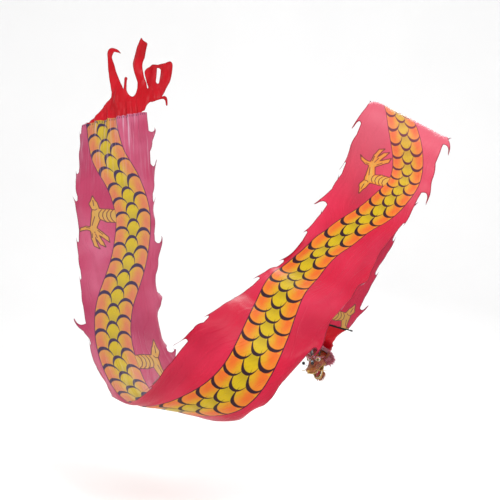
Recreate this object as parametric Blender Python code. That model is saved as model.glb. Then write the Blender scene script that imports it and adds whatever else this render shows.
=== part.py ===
"""A hand-swung ribbon dragon, flying: telescopic rod, swivel, small 3-D dragon head, neck
sleeve, spreader bar, a long flame-edged printed ribbon with two turns in it, and a gathered
tail. Metres. +X to the viewer's right, +Y away from the viewer, +Z up. The origin is the
point on the rod's axis where the hand holds it."""

import bmesh
import bpy
import math

import numpy as np
from mathutils import Matrix, Vector
from mathutils.geometry import delaunay_2d_cdt

# ---- driving dimensions -------------------------------------------------------------------
RIBBON_WIDTH = 0.65
RIBBON_LENGTH = 8.40
CLOTH_T = 0.0010
JOINT_GAP = 0.0016
# How the ribbon flies: arc length from the bar, centre line, direction from left to right edge
FLIGHT = [
    (0.00, (0.25, 0.65, -0.33), (0.92, 0.29, -0.28)),
    (0.80, (0.54, 0.40, 0.37), (0.92, 0.22, -0.31)),
    (1.45, (0.79, 0.20, 0.94), (0.93, 0.06, -0.38)),
    (1.75, (0.89, 0.09, 1.20), (0.90, -0.07, -0.45)),
    (1.93, (0.91, -0.08, 1.27), (0.89, -0.09, -0.49)),
    (2.12, (0.84, -0.22, 1.15), (0.90, -0.14, -0.43)),
    (2.60, (0.64, -0.30, 0.72), (0.85, -0.41, -0.33)),
    (3.20, (0.33, -0.56, 0.28), (0.81, -0.55, -0.22)),
    (3.80, (0.00, -0.90, -0.08), (0.82, -0.43, -0.36)),
    (4.30, (-0.27, -1.22, -0.32), (0.79, -0.20, -0.60)),
    (4.70, (-0.52, -1.28, -0.60), (0.73, 0.18, -0.62)),
    (5.20, (-0.82, -0.99, -0.82), (0.82, 0.51, -0.31)),
    (5.80, (-1.11, -0.49, -0.70), (0.84, 0.51, -0.16)),
    (6.80, (-1.37, 0.14, 0.00), (0.92, 0.41, -0.06)),
    (8.40, (-1.54, 0.75, 1.46), (0.99, -0.22, 0.18)),
]
# The ribbon bends along these straight lines across it
BENDS = [0.64, 1.28, 1.93, 2.60, 3.25, 3.90, 4.50, 5.05, 5.60, 6.25, 6.95, 7.65]
FIN_STEP = 0.31
FIN_HEIGHT = 0.075

ROD_RING = Vector((0.224, 0.690, -0.636))
BUTT_AT = -0.205
GRIP_R = 0.0150
OUTER_R = 0.0105
MIDDLE_R = 0.0085
TIP_R = 0.0066
OUTER_END = 0.40
MIDDLE_END = 0.68
TIP_END = 0.870

HEAD_AT = Vector((0.260, 0.730, -0.700))
HEAD_MUZZLE = Vector((-0.45, -0.62, -0.64))
HEAD_CROWN = Vector((-0.44, -0.47, 0.765))
JAW_PIVOT = Vector((0.0, 0.000, -0.032))
JAW_OPEN = math.radians(-38.0)

BAR_R = 0.0050
BAR_OVERHANG = 0.020
TAIL_LENGTH = 0.24


def clear_scene():
    for obj in list(bpy.data.objects):
        bpy.data.objects.remove(obj, do_unlink=True)


def material(name, colour, roughness, metallic=0.0):
    mat = bpy.data.materials.new(name)
    mat.use_nodes = True
    shader = mat.node_tree.nodes["Principled BSDF"]
    shader.inputs["Base Color"].default_value = (*colour, 1.0)
    shader.inputs["Roughness"].default_value = roughness
    shader.inputs["Metallic"].default_value = metallic
    mat.diffuse_color = (*colour, 1.0)
    return mat


# ---- general solids -----------------------------------------------------------------------
def object_from(name, verts, faces, mat, matrix=None):
    mesh = bpy.data.meshes.new(name)
    mesh.from_pydata([tuple(v) for v in verts], [], faces)
    bm = bmesh.new()
    bm.from_mesh(mesh)
    bmesh.ops.recalc_face_normals(bm, faces=bm.faces)
    bm.to_mesh(mesh)
    bm.free()
    if matrix is not None:
        mesh.transform(matrix)
    mesh.materials.append(mat)
    obj = bpy.data.objects.new(name, mesh)
    bpy.context.scene.collection.objects.link(obj)
    return obj


def ring_points(centre, across, up, rx, rz, count, power=2.0):
    points = []
    for i in range(count):
        angle = 2 * math.pi * (i + 0.5) / count
        c = math.cos(angle)
        s = math.sin(angle)
        x = math.copysign(abs(c) ** (2 / power), c)
        z = math.copysign(abs(s) ** (2 / power), s)
        points.append(centre + across * (rx * x) + up * (rz * z))
    return points


def loft_data(rings):
    """Closed skin over rings of equal length, capped at both ends."""
    count = len(rings[0])
    verts = [p for ring in rings for p in ring]
    faces = [tuple(range(count))]
    for r in range(len(rings) - 1):
        for i in range(count):
            j = (i + 1) % count
            a = r * count
            b = a + count
            faces.append((a + i, a + j, b + j, b + i))
    last = (len(rings) - 1) * count
    faces.append(tuple(last + i for i in range(count)))
    return verts, faces


def loft(name, rings, mat, matrix=None):
    verts, faces = loft_data(rings)
    return object_from(name, verts, faces, mat, matrix)


def frame_along(direction):
    d = direction.normalized()
    side = d.cross(Vector((0, 0, 1)))
    if side.length < 0.1:
        side = d.cross(Vector((1, 0, 0)))
    side.normalize()
    return d, side, side.cross(d).normalized()


def turned(name, axis, profile, mat, seg=24):
    """Solid of revolution: profile is a closed loop of (along, radius) about the axis
    (origin, direction). A loop that comes back inside leaves a bore."""
    origin, direction = axis
    d, side, up = frame_along(direction)
    verts = []
    for along, radius in profile:
        for i in range(seg):
            angle = 2 * math.pi * i / seg
            ray = side * math.cos(angle) + up * math.sin(angle)
            verts.append(origin + d * along + ray * radius)
    faces = []
    n = len(profile)
    for p in range(n):
        q = (p + 1) % n
        for i in range(seg):
            j = (i + 1) % seg
            faces.append((p * seg + i, p * seg + j, q * seg + j, q * seg + i))
    return object_from(name, verts, faces, mat)


def sleeve(name, axis, a0, a1, r_out, r_in, mat, seg=24, chamfer=0.0):
    c = chamfer
    profile = [(a0, r_in), (a0, r_out - c), (a0 + c, r_out), (a1 - c, r_out)]
    profile += [(a1, r_out - c), (a1, r_in)]
    if c == 0.0:
        profile = [(a0, r_in), (a0, r_out), (a1, r_out), (a1, r_in)]
    return turned(name, axis, profile, mat, seg)


def swept(name, points, radii, mat, seg=10, flat=1.0, matrix=None):
    """Round or flattened bar along a short path, with capped ends."""
    rings = []
    side = None
    for i, p in enumerate(points):
        a = points[max(i - 1, 0)]
        b = points[min(i + 1, len(points) - 1)]
        d = (b - a).normalized()
        if side is None:
            side = d.cross(Vector((0.13, 0.2, 0.97)))
        side = (side - d * side.dot(d)).normalized()
        up = side.cross(d)
        rings.append(ring_points(p, side, up, radii[i], radii[i] * flat, seg))
    return loft(name, rings, mat, matrix)


def ball(name, centre, radius, mat, matrix=None, rings=10, seg=16, squash=1.0):
    loops = []
    for r in range(1, rings):
        polar = math.pi * r / rings
        c = centre + Vector((0, 0, -radius * squash * math.cos(polar)))
        rr = radius * math.sin(polar)
        loops.append(ring_points(c, Vector((1, 0, 0)), Vector((0, 1, 0)), rr, rr, seg))
    return loft(name, loops, mat, matrix)


def cut(obj, cutter, operation="DIFFERENCE"):
    cutter.hide_render = True
    cutter.display_type = "WIRE"
    mod = obj.modifiers.new(operation.title(), "BOOLEAN")
    mod.operation = operation
    mod.solver = "EXACT"
    mod.object = cutter


# ---- the ribbon's surface -----------------------------------------------------------------
def natural_spline(knots, values):
    """Cubic through the values with free ends, as a function of arc length."""
    x = np.array(knots)
    y = np.array(values)
    n = len(x)
    h = np.diff(x)
    matrix = np.eye(n)
    right = np.zeros_like(y)
    for i in range(1, n - 1):
        matrix[i, i - 1 : i + 2] = h[i - 1], 2 * (h[i - 1] + h[i]), h[i]
        right[i] = 6 * ((y[i + 1] - y[i]) / h[i] - (y[i] - y[i - 1]) / h[i - 1])
    second = np.linalg.solve(matrix, right)

    def at(s):
        i = int(np.clip(np.searchsorted(x, s) - 1, 0, n - 2))
        a = (x[i + 1] - s) / h[i]
        b = 1 - a
        bend = (a**3 - a) * second[i] + (b**3 - b) * second[i + 1]
        return a * y[i] + b * y[i + 1] + bend * h[i] ** 2 / 6

    return at


centre_at = natural_spline([f[0] for f in FLIGHT], [f[1] for f in FLIGHT])
across_at = natural_spline([f[0] for f in FLIGHT], [f[2] for f in FLIGHT])


def ribbon_frame(s):
    """Centre, along, across and front normal of the ribbon at arc length s."""
    centre = Vector(centre_at(s))
    along = Vector(centre_at(s + 0.004) - centre_at(s - 0.004)).normalized()
    across = Vector(across_at(s))
    across = (across - along * across.dot(along)).normalized()
    return centre, along, across, across.cross(along)


def on_ribbon(s, w, lift=0.0):
    centre, _, across, normal = ribbon_frame(s)
    return centre + across * w + normal * lift


def fin_outline(start, length, height, sweep):
    """One flame-cut tooth on an edge, as (arc length, height) points, swept to the tail."""
    return [
        (start, 0.0),
        (start + 0.35 * length, 0.30 * height),
        (start + 0.72 * length, 0.72 * height),
        (start + length + sweep, height),
        (start + 0.90 * length, 0.40 * height),
        (start + length, 0.0),
    ]


def edge_outline(s0, s1, side):
    """The flame-cut edge of one panel, from s0 to s1, as (s, height beyond the straight)."""
    points = [(s0, 0.0)]
    count = max(1, int((s1 - s0 - 0.06) / FIN_STEP + 0.35))
    step = (s1 - s0 - 0.05) / count
    for k in range(count):
        wave = math.sin(7.3 * (s0 + k * step) + 1.9 * side)
        height = FIN_HEIGHT * (1.0 + 0.38 * wave)
        start = s0 + 0.02 + k * step
        length = step * (0.76 + 0.08 * wave)
        points += fin_outline(start, length, height, 0.022)
    points.append((s1, 0.0))
    return points


def ruled_solid(name, outline, columns, to_space, mat, thickness=CLOTH_T):
    """A cloth piece: a flat outline in (s, w), ruled at the given columns, laid on a surface
    by to_space(s, w, lift) and given its thickness."""
    count = len(outline)
    flat = [Vector(p) for p in outline]
    edges = [(i, (i + 1) % count) for i in range(count)]
    for low, high in columns:
        edges.append((len(flat), len(flat) + 1))
        flat += [Vector(low), Vector(high)]
    found = delaunay_2d_cdt(flat, edges, [tuple(range(count))], 1, 1e-6)
    points, faces = found[0], found[2]
    n = len(points)
    half = thickness / 2
    verts = [to_space(p.x, p.y, half) for p in points]
    verts += [to_space(p.x, p.y, -half) for p in points]
    skins = [tuple(f) for f in faces] + [tuple(n + i for i in reversed(f)) for f in faces]
    sides = {}
    for f in faces:
        for i in range(len(f)):
            a, b = f[i], f[(i + 1) % len(f)]
            sides[(a, b)] = sides.get((a, b), 0) + 1
    walls = [(b, a, a + n, b + n) for a, b in sides if (b, a) not in sides]
    return object_from(name, verts, skins + walls, mat)


def ribbon_panel(name, s0, s1, mat):
    half = RIBBON_WIDTH / 2
    right = [(s, half + h) for s, h in edge_outline(s0, s1, 1)]
    left = [(s, -half - h) for s, h in edge_outline(s0, s1, 0)]
    outline = left + right[::-1]
    steps = max(4, round((s1 - s0) / 0.09))
    columns = []
    for i in range(1, steps):
        s = s0 + (s1 - s0) * i / steps
        columns.append(((s, -half), (s, half)))
    return ruled_solid(name, outline, columns, on_ribbon, mat)


# ---- rod ----------------------------------------------------------------------------------
def rod_axis():
    return Vector((0, 0, 0)), ROD_RING.normalized()


def build_rod(mats):
    axis = rod_axis()
    foam, steel, black = mats["foam"], mats["steel"], mats["black_plastic"]
    cap = [(BUTT_AT, 0.0135), (BUTT_AT + 0.003, 0.0165), (BUTT_AT + 0.016, 0.0165)]
    cap += [(BUTT_AT + 0.020, 0.0150), (BUTT_AT + 0.020, 0.0110), (BUTT_AT + 0.006, 0.0110)]
    turned_cup("butt_cap", axis, cap, black)
    grip = [(BUTT_AT + 0.0205, 0.0108), (BUTT_AT + 0.0205, 0.0150)]
    for k in range(9):
        at = BUTT_AT + 0.045 + 0.026 * k
        grip += [(at, GRIP_R + 0.0006), (at + 0.013, GRIP_R - 0.0008)]
    grip += [(0.062, GRIP_R), (0.076, 0.0122), (0.076, 0.0108)]
    turned("grip_foam", axis, grip, foam, 28)
    sleeve("outer_tube", axis, BUTT_AT + 0.008, OUTER_END, OUTER_R, 0.0098, steel, 28)
    at = OUTER_END + 0.002
    sleeve("outer_collar", axis, at - 0.036, at, 0.0132, 0.0108, black, 28, 0.0012)
    sleeve("middle_tube", axis, 0.110, MIDDLE_END, MIDDLE_R, 0.0078, steel, 24)
    at = MIDDLE_END + 0.002
    sleeve("middle_collar", axis, at - 0.032, at, 0.0110, 0.0088, black, 24, 0.0010)
    sleeve("tip_tube", axis, 0.440, TIP_END, TIP_R, 0.0058, steel, 20)
    ferrule = [(TIP_END - 0.012, 0.0069), (TIP_END - 0.012, 0.0088), (TIP_END + 0.012, 0.0088)]
    ferrule += [(TIP_END + 0.016, 0.0070), (TIP_END + 0.016, 0.0031), (TIP_END + 0.010, 0.0031)]
    ferrule += [(TIP_END + 0.010, 0.0069)]
    turned("tip_ferrule", axis, ferrule, steel, 20)
    build_swivel(axis, mats)


def turned_cup(name, axis, profile, mat, seg=24):
    """A cap: outer profile from its closed end to its rim, then the pocket's wall."""
    origin, direction = axis
    d, side, up = frame_along(direction)
    rings = []
    for along, radius in profile:
        rings.append(ring_points(origin + d * along, side, up, radius, radius, seg))
    return loft(name, rings, mat)


def torus_data(centre, plane_a, plane_b, major, minor, seg=20, tube=8, stretch=0.0):
    """A round or oval ring: stretch adds a straight run along plane_a."""
    out = plane_a.cross(plane_b).normalized()
    verts = []
    for i in range(seg):
        angle = 2 * math.pi * i / seg
        ray = plane_a * math.cos(angle) + plane_b * math.sin(angle)
        shift = plane_a * math.copysign(stretch / 2, math.cos(angle) + 1e-9)
        for j in range(tube):
            phi = 2 * math.pi * (j + 0.5) / tube
            off = ray * (minor * math.cos(phi)) + out * (minor * math.sin(phi))
            verts.append(centre + shift + ray * major + off)
    faces = []
    for i in range(seg):
        for j in range(tube):
            k = (i + 1) % seg
            m = (j + 1) % tube
            faces.append((i * tube + j, k * tube + j, k * tube + m, i * tube + m))
    return verts, faces


def build_swivel(axis, mats):
    origin, direction = axis
    d, side, up = frame_along(direction)
    steel = mats["steel"]
    stem = [(TIP_END + 0.0045, 0.0044), (TIP_END + 0.0090, 0.0044), (TIP_END + 0.0090, 0.0029)]
    stem += [(TIP_END + 0.0175, 0.0029), (TIP_END + 0.0175, 0.0048), (TIP_END + 0.0290, 0.0048)]
    post = turned_cup("swivel_eye", axis, stem, steel, 16)
    eye_at = origin + d * (TIP_END + 0.0365)
    verts, faces = torus_data(eye_at, d, up, 0.0085, 0.0019, 24, 8)
    eye = object_from("swivel_eye_loop", verts, faces, steel)
    cut(post, eye, "UNION")
    near = TIP_END + 0.0365 + 0.0085 - 0.0019 - 0.0016 - 0.0004
    clip_at = origin + d * (near + 0.0190)
    verts, faces = torus_data(clip_at, d, side, 0.0080, 0.0016, 24, 8, 0.022)
    object_from("snap_clip", verts, faces, steel)


# ---- head ---------------------------------------------------------------------------------
def head_matrix():
    fwd = HEAD_MUZZLE.normalized()
    up = (HEAD_CROWN - fwd * HEAD_CROWN.dot(fwd)).normalized()
    right = fwd.cross(up)
    m = Matrix.Identity(4)
    for i, axis in enumerate((right, fwd, up)):
        m[0][i], m[1][i], m[2][i] = axis
    m.translation = HEAD_AT
    return m


# Sections of the skull and upper muzzle: how far forward, half width, half height, centre
# height, squareness
SKULL = [
    (-0.098, 0.060, 0.056, 0.004, 2.2),
    (-0.075, 0.072, 0.068, 0.002, 2.3),
    (-0.040, 0.078, 0.070, 0.002, 2.4),
    (-0.008, 0.076, 0.064, 0.006, 2.5),
    (0.022, 0.066, 0.048, 0.014, 2.6),
    (0.050, 0.056, 0.032, 0.020, 2.6),
    (0.088, 0.051, 0.023, 0.020, 2.8),
    (0.116, 0.049, 0.026, 0.025, 2.6),
    (0.136, 0.038, 0.022, 0.030, 2.2),
    (0.145, 0.020, 0.011, 0.030, 2.0),
]
X = Vector((1, 0, 0))
Y = Vector((0, 1, 0))
Z = Vector((0, 0, 1))


def section_rings(sections, shrink, count=28, first=None):
    rings = []
    for k, (y, rx, rz, cz, power) in enumerate(sections):
        if k == 0 and first is not None:
            y = first
        c = Vector((0, y, cz))
        rings.append(ring_points(c, X, Z, rx - shrink, rz - shrink, count, power))
    return rings


def build_skull(place, mats):
    skull = loft("head_shell", section_rings(SKULL, 0.0), mats["head_red"], place)
    hollow = section_rings(SKULL[:5], 0.005, first=-0.110)
    cutter = loft("head_hollow", hollow, mats["head_red"], place)
    cut(skull, cutter)
    gape = []
    for y, top in ((-0.022, -0.030), (0.010, -0.014), (0.060, -0.006), (0.180, -0.004)):
        low = Vector((0, y, -0.095))
        high = Vector((0, y, top))
        gape.append([low - X * 0.062, low + X * 0.062, high + X * 0.062, high - X * 0.062])
    mouth = loft("mouth_gape", gape, mats["head_red"], place)
    cut(skull, mouth)
    pivot = place @ JAW_PIVOT
    bore = turned_cup("jaw_pin_hole", (pivot, place.to_3x3() @ X), [(-0.09, 0.0034), (0.09, 0.0034)],
                      mats["head_red"], 16)
    cut(skull, bore)
    return skull


def build_jaw(place, mats):
    swing = Matrix.Translation(JAW_PIVOT) @ Matrix.Rotation(JAW_OPEN, 4, "X")
    place = place @ swing
    outer = []
    inner = []
    jaw = [(-0.012, 0.057, 0.017), (0.016, 0.056, 0.021), (0.050, 0.050, 0.022)]
    jaw += [(0.084, 0.045, 0.020), (0.108, 0.035, 0.017), (0.120, 0.018, 0.011)]
    for y, rx, depth in jaw:
        c = Vector((0, y, 0.002))
        outer.append([c + X * rx * a + Z * b for a, b in jaw_section(depth, 1.0)])
        c = Vector((0, y * 0.92 + 0.005, 0.004))
        inner.append([c + X * (rx - 0.006) * a + Z * b for a, b in jaw_section(depth, 0.55)])
    body = loft("lower_jaw", outer, mats["head_gold"], place)
    cutter = loft("jaw_hollow", inner, mats["head_gold"], place)
    cut(body, cutter)
    axis = (place @ Vector((0, 0, 0)), place.to_3x3() @ X)
    hinge = turned_cup("jaw_bore", axis, [(-0.09, 0.0034), (0.09, 0.0034)], mats["head_gold"], 16)
    cut(body, hinge)
    turned_cup("jaw_pin", axis, [(-0.0735, 0.0033), (0.0735, 0.0033)], mats["steel"], 16)
    points = [Vector((0, 0.014, -0.001)), Vector((0, 0.045, 0.000)), Vector((0, 0.078, 0.008))]
    points += [Vector((0, 0.100, 0.022))]
    swept("tongue", points, [0.020, 0.024, 0.020, 0.007], mats["tongue"], 14, 0.22, place)
    teeth_row("lower_teeth", jaw_line(0.0118, 0.0440, 0.108), 0.0035, 0.010, mats["ivory"], place)
    return place


def jaw_section(depth, share):
    """A dish: flat rim above, rounded below."""
    points = []
    for k in range(15):
        angle = math.pi * (1 + k / 14)
        z = math.sin(angle) * depth
        points.append((math.cos(angle), z * share))
    top = 0.006 if share == 1.0 else 0.012
    return points + [(0.98, top), (-0.98, top)]


def jaw_line(z, half, front):
    """Where a row of teeth stands: a U round the jaw, from one cheek to the other."""
    points = []
    for k in range(17):
        angle = math.pi * k / 16
        c = math.cos(angle)
        y = 0.040 + (front - 0.040) * math.sin(angle) ** 0.8
        points.append(Vector((half * math.copysign(abs(c) ** 0.7, c), y, z)))
    return points


def teeth_row(name, line, thick, height, mat, place):
    """A gum strip with pointed teeth: one closed body, teeth alternating along the strip."""
    rings = []
    n = len(line)
    for k, p in enumerate(line):
        a = line[max(k - 1, 0)]
        b = line[min(k + 1, n - 1)]
        side = (b - a).normalized().cross(Z)
        tall = height if k % 2 else 0.25 * height
        if k in (3, n - 4):
            tall = 1.7 * abs(height) * math.copysign(1, height)
        half = thick / 2
        tip = half * (0.35 if k % 2 else 1.0)
        lift = math.copysign(0.003, height)
        rings.append([p - side * half - Z * lift, p + side * half - Z * lift,
                      p + side * tip + Z * tall, p - side * tip + Z * tall])
    loft(name, rings, mat, place)


def build_head(mats):
    place = head_matrix()
    skull = build_skull(place, mats)
    build_jaw(place, mats)
    upper = [p + Z * (0.09 * (p.y - 0.04)) for p in jaw_line(-0.0137, 0.0400, 0.130)]
    teeth_row("upper_teeth", upper, 0.0035, -0.010, mats["ivory"], place)
    for side, s in (("right", 1), ("left", -1)):
        eye = Vector((0.047 * s, 0.020, 0.0640))
        ball("eye_" + side, eye, 0.0215, mats["eye_white"], place)
        cut(skull, ball("eye_socket_" + side, eye, 0.0219, mats["head_red"], place))
        base = Vector((0.040 * s, -0.030, 0.0645))
        path = [base, base + Vector((0.010 * s, -0.022, 0.034))]
        path += [base + Vector((0.020 * s, -0.030, 0.070)), base + Vector((0.014 * s, -0.046, 0.104))]
        horn = swept("antler_" + side, path, [0.0085, 0.0072, 0.0060, 0.0028], mats["horn"], 10, 1.0, place)
        root = [base - (path[1] - base) * 0.2, path[1]]
        socket = swept("antler_socket_" + side, root, [0.0091, 0.0091], mats["horn"], 10, 1.0, place)
        cut(skull, socket)
        prong = [path[1], path[1] + Vector((0.016 * s, 0.008, 0.018))]
        prong += [path[1] + Vector((0.024 * s, 0.014, 0.036))]
        thick = [0.0058, 0.0046, 0.0022]
        branch = swept("antler_prong_" + side, prong, thick, mats["horn"], 8, 1.0, place)
        cut(horn, branch, "UNION")
        ear = [Vector((0.0815 * s, -0.030, 0.022)), Vector((0.098 * s, -0.040, 0.034))]
        ear += [Vector((0.116 * s, -0.056, 0.050)), Vector((0.128 * s, -0.072, 0.064))]
        swept("ear_" + side, ear, [0.010, 0.020, 0.016, 0.004], mats["head_red"], 10, 0.30, place)
        whisker = [Vector((0.0535 * s, 0.104, 0.020)), Vector((0.080 * s, 0.112, 0.016))]
        whisker += [Vector((0.112 * s, 0.098, 0.004)), Vector((0.138 * s, 0.070, -0.016))]
        swept("whisker_" + side, whisker, [0.0036, 0.0032, 0.0026, 0.0014], mats["head_gold"], 8, 1.0, place)
        stalk = [Vector((0.030 * s, 0.086, 0.0445)), Vector((0.036 * s, 0.096, 0.060))]
        stalk += [Vector((0.044 * s, 0.102, 0.082))]
        swept("pompom_spring_" + side, stalk, [0.0020, 0.0020, 0.0020], mats["steel"], 8, 1.0, place)
        ball("pompom_" + side, Vector((0.0465 * s, 0.1045, 0.0965)), 0.0135, mats["black_fluff"], place)
    tip = Vector((0, 0.1480, 0.0440))
    ball("nose", tip, 0.0130, mats["head_gold"], place, squash=0.8)
    cut(skull, ball("nose_socket", tip, 0.0135, mats["head_red"], place, squash=0.8))
    ball("brow_jewel", Vector((0, 0.046, 0.0625)), 0.0150, mats["mirror"], place, squash=0.45)
    build_ruff(place, mats)
    build_lead_ring(place, mats)


def build_ruff(place, mats):
    """The fur collar round the neck end of the head, open in the middle."""
    seg = 36
    verts = []
    loop = [(-0.100, 0.082), (-0.114, 0.114), (-0.098, 0.122), (-0.083, 0.091), (-0.090, 0.082)]
    for i in range(seg):
        angle = 2 * math.pi * i / seg
        wave = 1.0 if i % 2 else 0.0
        for y, r in loop:
            rr = r + (0.020 * wave if r > 0.1 else 0.0)
            yy = y - (0.024 * wave if r > 0.1 else 0.0)
            verts.append(Vector((math.cos(angle) * rr, yy, 0.004 + math.sin(angle) * rr * 0.95)))
    n = len(loop)
    faces = []
    for i in range(seg):
        k = (i + 1) % seg
        for j in range(n):
            m = (j + 1) % n
            faces.append((i * n + j, k * n + j, k * n + m, i * n + m))
    object_from("mane_ruff", verts, faces, mats["fur"], place)


def build_lead_ring(place, mats):
    """The ring on the crown that the clip holds, and the plate that it stands on."""
    origin, d = rod_axis()
    d, side, up = frame_along(d)
    near = TIP_END + 0.0365 + 0.0085 - 0.0019 - 0.0016 - 0.0004
    far = near + 0.0080 * 2 + 0.022
    centre = origin + d * (far - 0.0016 - 0.0018 - 0.0004 + 0.0070)
    verts, faces = torus_data(centre, d, up, 0.0070, 0.0018, 20, 8)
    ring = object_from("lead_ring", verts, faces, mats["steel"])
    foot_at = centre + d * 0.0070
    inward = place.to_3x3() @ Vector((0, -0.1, -1))
    foot = turned_cup("lead_ring_foot", (foot_at - inward * 0.001, inward),
                      [(0.0, 0.0034), (0.016, 0.0040), (0.0165, 0.0110), (0.0195, 0.0110)],
                      mats["steel"], 16)
    cut(ring, foot, "UNION")


# ---- neck and bar -------------------------------------------------------------------------
def neck_sections(shrink, ends):
    """From the head's collar to the bar: a tube that opens and flattens to the full width."""
    place = head_matrix()
    start = place @ Vector((0, -0.104 - ends[0], 0.004))
    back = -(place.to_3x3() @ Y)
    side0 = place.to_3x3() @ X
    bar, along, across, _ = ribbon_frame(0.0)
    finish = bar - along * (0.012 + ends[1])
    rings = []
    widths = [0.059, 0.064, 0.090, 0.118, 0.140, 0.172, 0.222, 0.304]
    depths = [0.055, 0.053, 0.058, 0.054, 0.045, 0.034, 0.020, 0.0052]
    reach = (finish - start).length
    n = len(widths)
    turn = 1 if side0.dot(across) > 0 else -1
    for k in range(n):
        t = k / (n - 1)
        h00 = 2 * t**3 - 3 * t**2 + 1
        h10 = t**3 - 2 * t**2 + t
        h01 = -2 * t**3 + 3 * t**2
        h11 = t**3 - t**2
        p = start * h00 + back * (h10 * reach) + finish * h01 + along * (h11 * reach)
        side = (side0 * turn * (1 - t) + across * t).normalized()
        tangent = (back * (1 - t) + along * t).normalized()
        side = (side - tangent * side.dot(tangent)).normalized()
        up = side.cross(tangent)
        rings.append(ring_points(p, side, up, widths[k] - shrink, depths[k] - shrink, 32, 2.0))
    return rings


def build_neck(mats):
    ends = (0.006, 0.0)
    body = loft("neck_sleeve", neck_sections(0.0, ends), mats["red_cloth"])
    inner = neck_sections(0.0016, ends)[:-1]
    forward = (inner[0][0] - inner[1][0]).normalized() * 0.006
    inner.insert(0, [p + forward for p in inner[0]])
    cut(body, loft("neck_hollow", inner, mats["red_cloth"]))


def build_bar(mats):
    bar, _, across, _ = ribbon_frame(0.0)
    reach = RIBBON_WIDTH / 2 + BAR_OVERHANG
    shape = [(-reach, BAR_R), (reach, BAR_R)]
    turned_cup("spreader_bar", (bar, across), shape, mats["black_plastic"], 20)
    for name, way in (("bar_cap_right", 1), ("bar_cap_left", -1)):
        base = bar + across * (way * (reach - 0.017))
        cap = [(0.023, BAR_R - 0.0005), (0.017, BAR_R + 0.0026), (0.0, BAR_R + 0.0022)]
        cap += [(0.0, BAR_R + 0.0003), (0.0173, BAR_R + 0.0003), (0.0173, 0.0010)]
        turned_cup(name, (base, across * way), cap, mats["black_plastic"], 20)


# ---- tail ---------------------------------------------------------------------------------
def tail_space(s, w, lift=0.0):
    """The tail leaves the ribbon's end straight, ripples and leans back a little."""
    centre, along, across, normal = ribbon_frame(RIBBON_LENGTH)
    lean = along * math.cos(0.35 * s) + normal * math.sin(0.35 * s)
    ripple = 0.030 * math.sin(9 * w + 5 * s) * min(1.0, s / 0.12)
    return centre + lean * s + across * w + normal * (lift + ripple)


def build_tail(mats):
    """The gathered band, which narrows from the seam to the roots of the streamers."""
    red = mats["red_cloth"]
    top = TAIL_LENGTH
    band = [(0.0015, -0.270), (0.0015, 0.300), (0.040, 0.308), (0.090, 0.345), (0.110, 0.400)]
    band += [(0.145, 0.450), (0.185, 0.490), (top, 0.545), (top, 0.338), (top - 0.015, 0.330)]
    band += [(top, 0.322), (top, 0.238), (0.165, 0.195), (top - 0.040, 0.145), (top, 0.098)]
    band += [(top, 0.005), (0.180, -0.015), (0.125, -0.095), (0.050, -0.200)]
    columns = [((s, -0.08), (s, 0.28)) for s in (0.05, 0.10, 0.15)]
    ruled_solid("tail_band", band, columns, tail_space, red)
    build_streamers(red, top + JOINT_GAP)


def streamer_outline(path, widths):
    left = []
    right = []
    n = len(path)
    for i, (s, w) in enumerate(path):
        a = path[max(i - 1, 0)]
        b = path[min(i + 1, n - 1)]
        if i == 0:
            b = (s + 1.0, w)
        ds, dw = b[0] - a[0], b[1] - a[1]
        size = math.hypot(ds, dw)
        left.append((s + dw / size * widths[i], w - ds / size * widths[i]))
        right.append((s - dw / size * widths[i], w + ds / size * widths[i]))
    return left, right


def build_streamers(red, top):
    shapes = {
        "tail_streamer_left": (
            [(0.0, 0.050), (0.10, 0.038), (0.17, 0.034), (0.26, 0.024), (0.32, 0.020),
             (0.375, 0.038), (0.410, 0.075), (0.370, 0.120)],
            [0.046, 0.038, 0.035, 0.026, 0.020, 0.024, 0.018, 0.006],
        ),
        "tail_streamer_middle": (
            [(0.0, 0.280), (0.09, 0.268), (0.17, 0.260), (0.25, 0.266), (0.32, 0.300),
             (0.37, 0.340), (0.425, 0.356)],
            [0.042, 0.036, 0.036, 0.046, 0.050, 0.050, 0.012],
        ),
    }
    for name, (path, widths) in shapes.items():
        path = [(top + s, w) for s, w in path]
        left, right = streamer_outline(path, widths)
        outline = left + right[::-1]
        columns = [(left[i], right[i]) for i in range(1, len(path) - 1)]
        ruled_solid(name, outline, columns, tail_space, red)
    loop = [(top, 0.338), (0.320, 0.318), (0.405, 0.312), (0.428, 0.350), (0.424, 0.410)]
    loop += [(0.405, 0.465), (0.412, 0.530), (0.400, 0.582), (0.370, 0.596), (0.305, 0.577)]
    loop += [(top, 0.545)]
    columns = [((0.300, 0.340), (0.300, 0.560)), ((0.360, 0.330), (0.360, 0.575))]
    right = ruled_solid("tail_streamer_right", loop, columns, tail_space, red)
    slit = [(0.380, 0.445), (0.365, 0.475), (0.300, 0.452), (0.262, 0.436), (0.262, 0.416)]
    slit += [(0.300, 0.414)]
    cut(right, ruled_solid("tail_slit", slit, [], tail_space, red, 0.030))


def build_ribbon(mats):
    ends = [0.0066 + JOINT_GAP / 2, *BENDS, RIBBON_LENGTH]
    for k in range(len(ends) - 1):
        s0 = ends[k] + (JOINT_GAP / 2 if k else 0.0)
        s1 = ends[k + 1] - JOINT_GAP / 2
        ribbon_panel(f"ribbon_{k + 1:02d}", s0, s1, mats["print_cloth"])


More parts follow.
